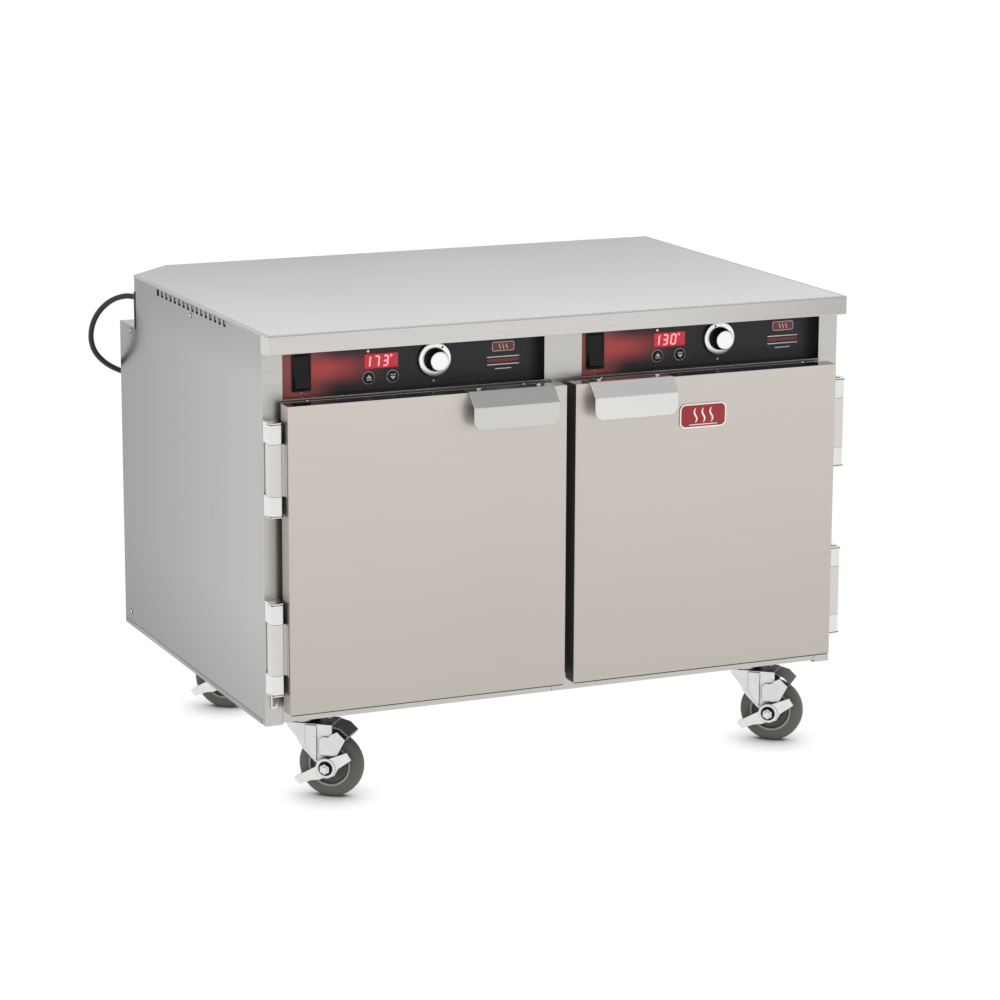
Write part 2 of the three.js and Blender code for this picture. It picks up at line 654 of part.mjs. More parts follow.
function cordHook() {
  const { x, z, radius, sheet } = SADDLE;
  const arch = new THREE.Shape();
  const from = 0.08 * Math.PI;
  const to = 0.92 * Math.PI;
  arch.absarc(x, z, radius, from, to, false);
  arch.absarc(x, z, radius - sheet, to, from, true);
  const ear = new THREE.Shape();
  ear.absarc(x, z, radius + 9, 0.3 * Math.PI, 0.7 * Math.PI, false);
  ear.absarc(x, z, radius - sheet, 0.7 * Math.PI, 0.3 * Math.PI, true);
  const back = new THREE.Shape();
  back.absarc(x, z, radius, from, to, false);
  return join(
    drawAlongY(arch, BACK + GAP, BACK + HOOK_REACH, 8),
    drawAlongY(ear, BACK + HOOK_REACH - sheet, BACK + HOOK_REACH, 8),
    drawAlongY(back, BACK + GAP, BACK + sheet, 8),
  );
}

piece('cord_hook', cordHook(), brushed);

const CORD_ROUTE = [
  [-575.8, 418.8, 866], [-590, 433, 865.8], [-608, 450, 858.5], [-625, 465, 843.5], [-639, 477, 822],
  [-647, 485, 797], [-648, 489, 770], [-640, 491, 745], [-624, 491, 725], [-602, 490, 709],
  [-575, 488, 697], [-544, 485, 688], [-511, 482, 683], [-478, 479, 683.5], [-446, 476, 688.5],
  [-416, 473, 696.5], [-391, 470, 705], [-368, 470, 710.8], [-345, 470, 708.6], [-325, 470, 698.4],
  [-310.8, 470, 681.6], [-304.2, 470, 660], [-303, 470, 630], [-303, 470, 500], [-303, 470, 370],
  [-303, 471, 240], [-303, 472, 120], [-303, 474, 74], [-303, 482, 44], [-303, 499, 22],
  [-303, 522, 10], [-303, 545, 7.4],
];

function cordLead() {
  const path = new THREE.CatmullRomCurve3(CORD_ROUTE.map((point) => new THREE.Vector3(...point)));
  const section = new THREE.Shape().absarc(0, 0, CORD_RADIUS, 0, 2 * Math.PI);
  return new THREE.ExtrudeGeometry(section, { steps: 72, curveSegments: 4, extrudePath: path });
}

function cordCoil() {
  const { inner, outer, floor, top } = COIL;
  const ring = turned([[inner, floor], [outer, floor], [outer, top], [inner, top], [inner, floor]], 40);
  return ring.rotateX(Math.PI / 2).translate(COIL.x, COIL.y, 0);
}

// Moulded three-pin plug lying beside the coil, drawn along +x from the end of its strain relief.
function plug() {
  const profile = [[0, 0], [7, 0], [9, 26], [14, 28], [15, 34], [15, 62], [13.5, 66], [0, 66]];
  const body = turned(profile, 20).rotateZ(-Math.PI / 2);
  const flat = box([20, 80], [-20, 20], [-30, -13.5]);
  const blade = (y) => box([60, 84], [y - 0.8, y + 0.8], [-3, 3.4]);
  const round = rod([60, 0, -7], [88, 0, -7], 2.4, 12);
  return join(cut(body, flat), blade(-6.4), blade(6.4), round);
}

piece('cord_lead', cordLead(), blackRubber);
piece('cord_coil', cordCoil(), blackRubber);
piece('cord_plug', plug(), blackRubber).position.set(COIL.x + 60, COIL.y + 60.3, 14);

export default cabinet;
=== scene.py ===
"""Looks of a low two-door heated holding cabinet on four casters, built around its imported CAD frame."""

import json
import math

import bmesh
import bpy
from mathutils import Matrix, Vector


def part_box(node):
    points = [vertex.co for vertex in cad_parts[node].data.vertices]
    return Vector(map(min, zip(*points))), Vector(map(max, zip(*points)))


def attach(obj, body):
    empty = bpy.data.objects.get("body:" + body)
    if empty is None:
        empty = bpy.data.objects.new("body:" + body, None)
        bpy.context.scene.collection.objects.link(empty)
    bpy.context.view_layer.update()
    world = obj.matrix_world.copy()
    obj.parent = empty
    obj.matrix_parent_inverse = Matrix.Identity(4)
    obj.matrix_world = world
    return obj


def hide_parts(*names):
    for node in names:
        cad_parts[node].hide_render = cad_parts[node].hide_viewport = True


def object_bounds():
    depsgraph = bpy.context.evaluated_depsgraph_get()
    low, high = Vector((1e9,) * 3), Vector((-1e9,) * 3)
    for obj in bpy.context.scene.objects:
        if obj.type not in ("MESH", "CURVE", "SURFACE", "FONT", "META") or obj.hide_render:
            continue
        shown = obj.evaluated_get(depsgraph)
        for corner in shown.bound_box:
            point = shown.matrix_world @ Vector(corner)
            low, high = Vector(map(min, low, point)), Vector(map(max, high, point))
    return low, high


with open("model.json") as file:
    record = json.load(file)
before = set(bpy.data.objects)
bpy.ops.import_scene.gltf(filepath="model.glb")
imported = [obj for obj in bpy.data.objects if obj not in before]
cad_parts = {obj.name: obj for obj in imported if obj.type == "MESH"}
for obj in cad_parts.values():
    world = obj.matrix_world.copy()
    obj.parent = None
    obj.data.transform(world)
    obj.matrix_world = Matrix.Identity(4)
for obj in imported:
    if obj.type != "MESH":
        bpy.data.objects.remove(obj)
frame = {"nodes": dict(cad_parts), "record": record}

CAD_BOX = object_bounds()
NODES = frame["nodes"]
BODY_OF = {n: body for body, names in frame["record"]["behaviour"]["bodies"].items() for n in names}
SCENE = bpy.context.scene
SIDES = {"left": -1, "right": 1}

# ---------------------------------------------------------------- places read from the frame
def middle_of(node):
    low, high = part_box(node)
    return (low + high) / 2


FRAME_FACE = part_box("front_frame")[0].y
BACK_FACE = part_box("casing")[1].y
HALF_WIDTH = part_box("casing")[1].x
CASING_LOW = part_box("casing")[0].z
WORKTOP_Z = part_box("worktop")[1].z
FLOOR_Z = CAD_BOX[0].z
DOOR_BOX = {side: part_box(f"{side}_door") for side in SIDES}
DOOR_FACE = DOOR_BOX["left"][0].y
PANEL_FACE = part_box("left_control_panel")[1].y - 0.002
PANEL_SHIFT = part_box("right_knob")[0].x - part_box("left_knob")[0].x


# ---------------------------------------------------------------- camera
def make_camera():
    position = Vector((-2.67433, FRAME_FACE - 5.73875, 1.9794))
    yaw, pitch, roll = math.radians(23.97), math.radians(-12.64), math.radians(0.246)
    forward = Vector((math.sin(yaw) * math.cos(pitch), math.cos(yaw) * math.cos(pitch), math.sin(pitch)))
    level = Vector((math.cos(yaw), -math.sin(yaw), 0))
    upright = level.cross(forward)
    right = math.cos(roll) * level + math.sin(roll) * upright
    up = right.cross(forward)
    data = bpy.data.cameras.new("camera")
    data.sensor_width = 36
    data.lens = 121.99
    data.clip_end = 200
    camera = bpy.data.objects.new("camera", data)
    SCENE.collection.objects.link(camera)
    turn = Matrix((right, up, -forward)).transposed().to_4x4()
    camera.matrix_world = Matrix.Translation(position) @ turn
    SCENE.camera = camera


make_camera()


# ---------------------------------------------------------------- materials
def shade(colour, factor):
    return tuple(min(1.0, c * factor) for c in colour)


def grey(value):
    return value, value, value


class Shader:
    """A material with its Principled shader, and short ways to add and join nodes."""

    def __init__(self, name, **values):
        self.material = bpy.data.materials.new(name)
        self.material.use_nodes = True
        self.tree = self.material.node_tree
        self.surface = self.tree.nodes["Principled BSDF"]
        for socket, value in values.items():
            self.surface.inputs[socket.replace("_", " ")].default_value = value

    def node(self, kind, inputs=(), **settings):
        made = self.tree.nodes.new(kind)
        for key, value in settings.items():
            setattr(made, key, value)
        for key, value in dict(inputs).items():
            socket = made.inputs[key]
            if isinstance(value, bpy.types.NodeSocket):
                self.tree.links.new(value, socket)
            else:
                socket.default_value = value
        return made

    def link(self, output, socket):
        self.tree.links.new(output, self.surface.inputs[socket])

    def place(self, scale=(1, 1, 1)):
        coords = self.node("ShaderNodeTexCoord")
        return self.node("ShaderNodeMapping", {"Vector": coords.outputs["Object"], "Scale": scale}).outputs[0]

    def noise(self, scale, detail, stretch=(1, 1, 1)):
        inputs = {"Vector": self.place(stretch), "Scale": scale, "Detail": detail}
        return self.node("ShaderNodeTexNoise", inputs).outputs["Fac"]

    def ramp(self, value, stops):
        made = self.node("ShaderNodeValToRGB", {"Fac": value})
        elements = made.color_ramp.elements
        while len(elements) < len(stops):
            elements.new(0.5)
        for element, (position, colour) in zip(elements, stops):
            element.position = position
            element.color = (*colour, 1)
        return made.outputs["Color"]

    def tones(self, value, colour, low, high, start=0.3, end=0.7):
        """One colour, from one factor of its brightness to another as the value goes from start to end."""
        return self.ramp(value, [(start, shade(colour, low)), (end, shade(colour, high))])

    def axes(self):
        coords = self.node("ShaderNodeTexCoord").outputs["Object"]
        return self.node("ShaderNodeSeparateXYZ", {"Vector": coords}).outputs

    def times(self, first, second):
        return self.node("ShaderNodeMath", {0: first, 1: second}, operation="MULTIPLY").outputs[0]

    def span(self, value, low, high, start=0.0, end=1.0, kind="LINEAR"):
        inputs = {"Value": value, "From Min": start, "From Max": end, "To Min": low, "To Max": high}
        return self.node("ShaderNodeMapRange", inputs, interpolation_type=kind).outputs["Result"]

    def mix(self, factor, first, second, blend="MIX"):
        made = self.node("ShaderNodeMix", data_type="RGBA", blend_type=blend)
        for index, value in ((0, factor), (6, first), (7, second)):
            if isinstance(value, bpy.types.NodeSocket):
                self.tree.links.new(value, made.inputs[index])
            else:
                made.inputs[index].default_value = value
        return made.outputs[2]

    def roughness(self, value, low, high, start=0.3, end=0.7):
        self.link(self.span(value, low, high, start, end), "Roughness")

    def bump(self, height, strength, distance=0.0002):
        inputs = {"Height": height, "Strength": strength, "Distance": distance}
        self.link(self.node("ShaderNodeBump", inputs).outputs["Normal"], "Normal")


GRAIN = {"x": (1.5, 260, 260), "y": (260, 1.5, 260), "z": (260, 260, 1.5)}


def brushed_steel(name, colour, rough, along, contrast=0.05, painted_shading=(), relief=0.06):
    """Satin stainless sheet: long fine scratches one way, soft cloudiness, and painted shading that darkens
    the tone along an axis, each given as (axis index, from, to, tone at the first place)."""
    made = Shader(name, Metallic=1.0)
    streaks = made.noise(2.0, 4, GRAIN[along])
    clouds = made.noise(2.2, 2)
    tone = made.tones(streaks, colour, 1 - contrast, 1 + contrast, 0.25, 0.75)
    veil = made.ramp(clouds, [(0.15, grey(0.95)), (0.85, grey(1))])
    tone = made.mix(1.0, tone, veil, "MULTIPLY")
    # painted shading: each entry darkens the tone towards one end of an axis, in place of uneven light
    for axis, start, end, first in painted_shading:
        shade_ramp = made.span(made.axes()[axis], 0.0, 1.0, start, end)
        tone = made.mix(1.0, tone, made.mix(shade_ramp, (*first, 1), (1, 1, 1, 1)), "MULTIPLY")
    made.link(tone, "Base Color")
    made.roughness(clouds, rough - 0.04, rough + 0.05, 0.15, 0.85)
    made.bump(streaks, relief)
    return made.material


def plated(name, colour, rough, crevice_shade=0.14, uneven=0.04):
    """Bright plating over a pressed or cast surface, dulled in patches, with painted shade where pieces meet."""
    made = Shader(name, Metallic=1.0)
    patches = made.noise(60, 4)
    grain = made.noise(900, 2)
    tone = made.tones(patches, colour, 1 - uneven, 1 + uneven)
    # painted shade: ambient occlusion darkens the colour in crevices and where pieces meet
    corners = made.node("ShaderNodeAmbientOcclusion", {"Distance": 0.010}, samples=12).outputs["AO"]
    painted_corner_shade = made.ramp(corners, [(0.45, grey(crevice_shade)), (0.92, grey(1))])
    made.link(made.mix(1.0, tone, painted_corner_shade, "MULTIPLY"), "Base Color")
    made.roughness(patches, rough, rough + 2 * uneven, 0.3, 0.8)
    made.bump(grain, uneven)
    return made.material


def moulded(name, colour, rough, grain=700, lift=0.15, gloss=0.5):
    """Plastic or rubber with a fine moulded grain and faint dust-grey patches."""
    made = Shader(name, Specular_IOR_Level=gloss)
    fine = made.noise(grain, 3)
    patches = made.noise(18, 3)
    made.link(made.tones(patches, colour, 1 - lift, 1 + lift, 0.3, 0.75), "Base Color")
    made.roughness(fine, rough - 0.06, rough + 0.08)
    made.bump(fine, 0.25, 0.0003)
    return made.material


def enamel(name, colour, rough=0.2):
    """Printed or sprayed enamel with a slight orange peel."""
    made = Shader(name, Specular_IOR_Level=0.5)
    peel = made.noise(350, 2)
    patches = made.noise(30, 2)
    made.link(made.tones(patches, colour, 0.92, 1.05), "Base Color")
    made.roughness(peel, rough, rough + 0.08)
    made.bump(peel, 0.1)
    return made.material


def galvanised_sheet():
    made = Shader("galvanised", Metallic=1.0)
    flakes = made.node("ShaderNodeTexVoronoi", {"Vector": made.place(), "Scale": 90.0}).outputs["Color"]
    tone = made.node("ShaderNodeSeparateColor", {"Color": flakes}).outputs[0]
    made.link(made.ramp(tone, [(0.0, (0.24, 0.25, 0.26)), (1.0, (0.36, 0.37, 0.38))]), "Base Color")
    made.roughness(tone, 0.38, 0.52, 0.0, 1.0)
    return made.material


def lit(name, colour, strength, dark):
    """A lit indicator behind a red lens, a little uneven in brightness."""
    made = Shader(name, Roughness=0.25, Emission_Strength=strength)
    grain = made.noise(500, 2)
    made.link(made.tones(grain, dark, 1.0, 1.3, 0.2, 0.8), "Base Color")
    made.link(made.tones(grain, colour, 0.85, 1.0, 0.2, 0.8), "Emission Color")
    return made.material


GLOW_Z = 0.841
ROCKER_X = -0.5125


def control_enamel(side):
    """Charcoal panel print: maroon from its left end to just past the power switch, then a painted red glow, lit by
    emission though the panel is no lamp.
    """
    made = Shader(f"{side}_control_enamel", Specular_IOR_Level=0.25)
    switch = ROCKER_X + (PANEL_SHIFT if side == "right" else 0.0)
    axes = made.axes()
    far = made.span(axes[0], 1, 0, switch + 0.040, switch + 0.175, "SMOOTHSTEP")
    near = made.span(axes[0], 0, 1, switch + 0.010, switch + 0.024, "SMOOTHSTEP")
    low = made.span(axes[2], 0, 1, GLOW_Z - 0.038, GLOW_Z + 0.002, "SMOOTHSTEP")
    high = made.span(axes[2], 1, 0, GLOW_Z + 0.004, GLOW_Z + 0.036, "SMOOTHSTEP")
    glow = made.times(made.times(far, near), made.times(low, high))
    maroon = made.span(axes[0], 1, 0, switch - 0.012, switch + 0.080, "SMOOTHSTEP")
    peel = made.noise(300, 2)
    charcoal = made.ramp(peel, [(0.3, (0.025, 0.024, 0.029)), (0.7, (0.033, 0.032, 0.037))])
    ground = made.mix(maroon, charcoal, (0.40, 0.115, 0.107, 1))
    made.link(made.mix(glow, ground, (0.33, 0.045, 0.045, 1)), "Base Color")
    made.roughness(peel, 0.28, 0.36)
    # painted glow: emission from the panel itself, with no lamp behind it
    made.link(made.mix(glow, (0, 0, 0, 1), (0.22, 0.030, 0.030, 1)), "Emission Color")
    made.surface.inputs["Emission Strength"].default_value = 0.7
    made.bump(peel, 0.08)
    return made.material


DOOR_TONE = (0.62, 0.585, 0.54)
TOP_TONE = grey(0.74)
LIP_TONE = (0.64, 0.62, 0.595)
SIDE_TONE = (0.455, 0.45, 0.437)
FRAME_TONE = (0.56, 0.545, 0.52)
# Painted shading on the steel: the doors darker towards the bottom; the sides darker towards the back, the foot and the
# top; the worktop darker towards the back; its lip darker towards the right end.
DOOR_PAINTED_SHADE = ((2, DOOR_BOX["left"][0].z, DOOR_BOX["left"][1].z, (0.85, 0.84, 0.82)),)
SIDE_PAINTED_SHADE = (
    (1, BACK_FACE, FRAME_FACE, grey(0.52)),
    (2, CASING_LOW + 0.01, CASING_LOW + 0.21, grey(0.78)),
    (2, 0.900, 0.825, grey(0.80)),
)
TOP_PAINTED_SHADE = ((1, BACK_FACE, FRAME_FACE, grey(0.645)),)
LIP_PAINTED_SHADE = ((0, HALF_WIDTH, 0.2, grey(0.76)),)

STEELS = {
    "worktop": (TOP_TONE, 0.36, "x", 0.02, TOP_PAINTED_SHADE, 0.03),
    # painted shade: the worktop's upright front lip, a darker copy of its steel
    "lip": (LIP_TONE, 0.32, "x", 0.04, LIP_PAINTED_SHADE),
    # painted shade: a dark band along the turn of the worktop's edges
    "hem": ((0.36, 0.36, 0.355), 0.3, "x", 0.03),
    # painted shade: dark copy for the door tops and the inner faces of the frame's openings
    "fold": ((0.22, 0.215, 0.21), 0.14, "x", 0.03, (), 0.02),
    "side": (SIDE_TONE, 0.18, "z", 0.03, SIDE_PAINTED_SHADE, 0.03),
    "frame": (FRAME_TONE, 0.3, "x"),
    "door": (DOOR_TONE, 0.38, "x", 0.016, DOOR_PAINTED_SHADE, 0.025),
    # lit and shaded copies of the one handle steel, painted light: the right handle lighter than the left, the right
    # slope lighter still, the left slope darker
    "left_handle": ((0.63, 0.62, 0.60), 0.3, "x", 0.02, (), 0.03),
    "left_slope": ((0.54, 0.535, 0.52), 0.3, "x", 0.02, (), 0.03),
    "right_handle": ((0.75, 0.74, 0.72), 0.3, "x", 0.02, (), 0.03),
    "right_slope": ((0.80, 0.79, 0.775), 0.3, "x", 0.02, (), 0.03),
    "liner": (grey(0.55), 0.3, "x"),
}
# a third value gives the tone of the painted crevice shade
PLATED = {
    "chrome": ((0.68, 0.68, 0.685), 0.13),
    "leaf": ((0.66, 0.64, 0.612), 0.32, 1.0, 0.006),
    "knuckle": ((0.75, 0.75, 0.74), 0.24, 0.5, 0.008),
    "cast": ((0.75, 0.745, 0.73), 0.24),
    "cap": (grey(0.93), 0.26, 0.9, 0.015),
    "screw": ((0.86, 0.86, 0.85), 0.22),
    "sheath": ((0.30, 0.27, 0.25), 0.4),
}
MOULDED = {
    "black_plastic": ((0.008, 0.008, 0.009), 0.34, 700, 0.15, 0.22),
    "rubber": (grey(0.010), 0.36, 900),
    "gasket": ((0.03, 0.028, 0.026), 0.6, 500),
    "tyre": ((0.105, 0.10, 0.085), 0.55, 420, 0.08),
    "hub": ((0.07, 0.067, 0.06), 0.45, 420, 0.1),
    "hub_ring": ((0.33, 0.325, 0.31), 0.5, 420, 0.06),
    # the brake shoe's dark hood, and painted reflection on the crowns' tops
    "guard": ((0.052, 0.052, 0.054), 0.42, 420, 0.2, 0.35),
    # dark joints for the frame seams, and painted shadow for the rings round the side screws
    "dark_gap": ((0.03, 0.026, 0.024), 0.6),
    # painted shade: dark copy for the doors' inner edges at the centre gap and the ends of the handles
    "break_strip": ((0.042, 0.037, 0.033), 0.45, 500, 0.1, 0.3),
}
ENAMELS = {
    "dark_gloss": ((0.020, 0.014, 0.015), 0.16),
    "print_white": (grey(0.82), 0.3),
    "print_red": ((0.22, 0.022, 0.026), 0.3),
    "print_grey": (grey(0.62), 0.3),
    "badge_red": ((0.30, 0.014, 0.012), 0.22),
}
LIT = {
    "display": ((0.43, 0.012, 0.028), 1.0, (0.12, 0.005, 0.008)),
    "digit": ((1.0, 0.40, 0.42), 1.1, (0.5, 0.12, 0.12)),
}
MATERIALS = {"galvanised": galvanised_sheet()}
for kind, table in ((brushed_steel, STEELS), (plated, PLATED), (moulded, MOULDED), (enamel, ENAMELS), (lit, LIT)):
    MATERIALS.update({name: kind(name, *values) for name, values in table.items()})


# ---------------------------------------------------------------- pieces
def add_piece(name, shape, material, body="cabinet", replaced=()):
    """Puts a mesh, a bmesh or a list of bmeshes in the scene as one named piece that rides on a body."""
    if isinstance(shape, list):
        shape = joined(shape)
    mesh = mesh_of(shape, name) if isinstance(shape, bmesh.types.BMesh) else shape
    piece = bpy.data.objects.new(name, mesh)
    SCENE.collection.objects.link(piece)
    if not mesh.materials:
        mesh.materials.append(MATERIALS[material])
    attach(piece, body)
    if replaced:
        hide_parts(*replaced)
    return piece


def mesh_of(bm, name, smooth=35):
    bmesh.ops.recalc_face_normals(bm, faces=bm.faces)
    mesh = bpy.data.meshes.new(name)
    bm.to_mesh(mesh)
    bm.free()
    mesh.polygons.foreach_set("use_smooth", [True] * len(mesh.polygons))
    mesh.set_sharp_from_angle(angle=math.radians(smooth))
    return mesh


def bevelled(bm, width, segments=2, angle=30):
    """Rounds every edge that turns by more than the angle."""
    sharp = [
        e for e in bm.edges
        if len(e.link_faces) == 2 and e.calc_face_angle(0) > math.radians(angle)
    ]
    bmesh.ops.bevel(
        bm, geom=sharp, offset=width, segments=segments, profile=0.5, affect="EDGES", clamp_overlap=True
    )
    return bm


def refined(node, material, width=0.0008, segments=2, accents=(), slices=()):
    """Stands for a CAD node with the same shape, its sheet edges and corners softened. An accent is a
    second material and the test of centre and normal for its faces; a slice parts faces at a plane."""
    bm = bmesh.new()
    bm.from_mesh(NODES[node].data)
    for point, normal in slices:
        everything = [*bm.verts, *bm.edges, *bm.faces]
        bmesh.ops.bisect_plane(bm, geom=everything, dist=1e-6, plane_co=point, plane_no=normal)
    bmesh.ops.remove_doubles(bm, verts=bm.verts, dist=2e-6)
    bm.normal_update()
    for index, (_, test) in enumerate(accents, 1):
        for face in bm.faces:
            if test(face.calc_center_median(), face.normal):
                face.material_index = index
    limit = math.radians(2)
    bmesh.ops.dissolve_limit(bm, angle_limit=limit, verts=bm.verts, edges=bm.edges, delimit={"MATERIAL"})
    bevelled(bm, width, segments)
    piece = add_piece(f"{node}_finish", bm, material, BODY_OF[node], (node,))
    for accent, _ in accents:
        piece.data.materials.append(MATERIALS[accent])
    piece.modifiers.new("flat_faces", "WEIGHTED_NORMAL").keep_sharp = True
    return piece


def block(x, y, z, width=0.0, segments=2):
    """A box between two values on each axis, as a bmesh, with rounded edges if width is given."""
    bm = bmesh.new()
    bmesh.ops.create_cube(bm, size=1)
    lows = [min(v) for v in (x, y, z)]
    spans = [abs(v[1] - v[0]) for v in (x, y, z)]
    for vert in bm.verts:
        vert.co = Vector([lows[i] + (vert.co[i] + 0.5) * spans[i] for i in range(3)])
    return bevelled(bm, width, segments) if width else bm


def joined(parts):
    """One bmesh from several, which it uses up."""
    whole = bmesh.new()
    for part in parts:
        scratch = bpy.data.meshes.new("scratch")
        part.to_mesh(scratch)
        part.free()
        whole.from_mesh(scratch)
        bpy.data.meshes.remove(scratch)
    return whole


def spun(profile, segments=64):
    """Solid of revolution about the y axis from (radius, y) pairs that start and end on the axis or close."""
    bm = bmesh.new()
    closed = profile[0] == profile[-1]
    points = profile[:-1] if closed else profile
    rings = []
    for radius, y in points:
        if radius < 1e-7:
            rings.append([bm.verts.new((0, y, 0))])
            continue
        turn = [2 * math.pi * i / segments for i in range(segments)]
        rings.append([bm.verts.new((radius * math.cos(t), y, radius * math.sin(t))) for t in turn])
    pairs = list(zip(rings, rings[1:]))
    if closed:
        pairs.append((rings[-1], rings[0]))
    for first, second in pairs:
        for i in range(segments):
            j = (i + 1) % segments
            corners = [first[i % len(first)], first[j % len(first)], second[j % len(second)], second[i % len(second)]]
            unique = list(dict.fromkeys(corners))
            if len(unique) > 2:
                bm.faces.new(unique)
    return bm


def moved(bm, matrix):
    bm.transform(matrix)
    return bm


def at(x, y, z):
    return Matrix.Translation((x, y, z))


def ring(x, z, outer, inner, y0, y1, segments=48):
    """Flat washer about a line along y."""
    profile = [(inner, y0), (outer, y0), (outer, y1), (inner, y1), (inner, y0)]
    return moved(spun(profile, segments), at(x, 0, z))


def bridge(bm, first, second):
    """A closed strip of four-sided faces between two loops of vertices."""
    for i in range(len(first)):
        j = (i + 1) % len(first)
        bm.faces.new((first[i], first[j], second[j], second[i]))


def plate(outline, y0, y1, width=0.0, segments=2):
    """An outline of (x, z) pairs drawn out from y0 to y1."""
    bm = bmesh.new()
    front = [bm.verts.new((x, y0, z)) for x, z in outline]
    back = [bm.verts.new((x, y1, z)) for x, z in outline]
    bm.faces.new(front)
    bm.faces.new(list(reversed(back)))
    bridge(bm, front, back)
    bmesh.ops.recalc_face_normals(bm, faces=bm.faces)
    return bevelled(bm, width, segments) if width else bm


def rounded_outline(x0, x1, z0, z1, radius, steps=6):
    corners = ((x1 - radius, z1 - radius, 0), (x0 + radius, z1 - radius, 90),
               (x0 + radius, z0 + radius, 180), (x1 - radius, z0 + radius, 270))
    points = []
    for cx, cz, start in corners:
        for i in range(steps + 1):
            angle = math.radians(start + 90 * i / steps)
            points.append((cx + radius * math.cos(angle), cz + radius * math.sin(angle)))
    return points


def screw_head(radius, height):
    """Pan-head screw, standing towards -y from y = 0, with a thin cross on it for its recess."""
    crown = [(0, 0), (radius, 0), (radius, -0.3 * height), (0.82 * radius, -0.8 * height),
             (0.45 * radius, -height), (0, -height)]
    arm, thin, depth = 0.5 * radius, 0.13 * radius, (-1.02 * height, -0.9 * height)
    bars = [block((-long, long), depth, (-short, short)) for long, short in ((arm, thin), (thin, arm))]
    return joined([spun(crown, 24), *bars])


# ---------------------------------------------------------------- power cord
CORD_DIAMETER = 0.012
BEVEL_INSET = 0.00028  # keeps the round section within the faceted cord of the frame
CORD_ROUTE = [
    (-0.5758, 0.4188, 0.866), (-0.590, 0.433, 0.8658), (-0.608, 0.450, 0.8585), (-0.625, 0.465, 0.8435),
    (-0.639, 0.477, 0.822), (-0.647, 0.485, 0.797), (-0.648, 0.489, 0.770), (-0.640, 0.491, 0.745),
    (-0.624, 0.491, 0.725), (-0.602, 0.490, 0.709), (-0.575, 0.488, 0.697), (-0.544, 0.485, 0.688),
    (-0.511, 0.482, 0.683), (-0.478, 0.479, 0.6835), (-0.446, 0.476, 0.6885), (-0.416, 0.473, 0.6965),
    (-0.391, 0.470, 0.705), (-0.368, 0.470, 0.7108), (-0.345, 0.470, 0.7086), (-0.325, 0.470, 0.6984),
    (-0.3108, 0.470, 0.6816), (-0.3042, 0.470, 0.660), (-0.303, 0.470, 0.630), (-0.303, 0.470, 0.500),
    (-0.303, 0.470, 0.370), (-0.303, 0.471, 0.240), (-0.303, 0.472, 0.120), (-0.303, 0.474, 0.074),
    (-0.303, 0.482, 0.044), (-0.303, 0.499, 0.022), (-0.303, 0.522, 0.010), (-0.303, 0.545, 0.0074),
]
TIE_WIDTH = 0.012
PLUG_AXIS_Z = 0.014
SLEEVE_LENGTH = 0.0365
COIL_LOW = 0.0074
COIL_HIGH = 0.0196
COIL_OUTER = 0.0731
COIL_MIDDLE = 0.0603
COIL_INNER = 0.0475
COIL_TURNS = 3.25
TURN_STEPS = 36


def centripetal(points, per_span):
    """Smooth curve through the points, by the centripetal Catmull-Rom rule."""
    pts = [Vector(p) for p in points]
    pts = [2 * pts[0] - pts[1], *pts, 2 * pts[-1] - pts[-2]]
    smooth = []
    for a, b, c, d in zip(pts, pts[1:], pts[2:], pts[3:]):
        t1 = (b - a).length ** 0.5
        t2 = t1 + (c - b).length ** 0.5
        t3 = t2 + (d - c).length ** 0.5
        for i in range(per_span):
            t = t1 + (t2 - t1) * i / per_span
            a1 = a.lerp(b, t / t1)
            a2 = b.lerp(c, (t - t1) / (t2 - t1))
            a3 = c.lerp(d, (t - t2) / (t3 - t2))
            b1 = a1.lerp(a2, t / t2)
            b2 = a2.lerp(a3, (t - t1) / (t3 - t1))
            smooth.append(b1.lerp(b2, (t - t1) / (t2 - t1)))
    smooth.append(pts[-2])
    return smooth


def ease(value):
    value = min(max(value, 0.0), 1.0)
    return value * value * (3 - 2 * value)


def coil_points(centre):
    """Turns wound clockwise from the outside in on the floor, then one turn out again on top of them."""
    points = []
    steps = round(COIL_TURNS * TURN_STEPS)
    for i in range(steps + 1):
        turn = i / TURN_STEPS
        inward = COIL_OUTER + (COIL_MIDDLE - COIL_OUTER) * ease(turn) + (COIL_INNER - COIL_MIDDLE) * ease(turn - 1)
        radius = inward + (COIL_MIDDLE - COIL_INNER) * ease(turn - 2.25)
        height = COIL_LOW + (COIL_HIGH - COIL_LOW) * ease((turn - 1.85) / 0.35)
        angle = math.pi - 2 * math.pi * turn
        points.append(Vector((centre.x + radius * math.cos(angle), centre.y + radius * math.sin(angle), height)))
    return points


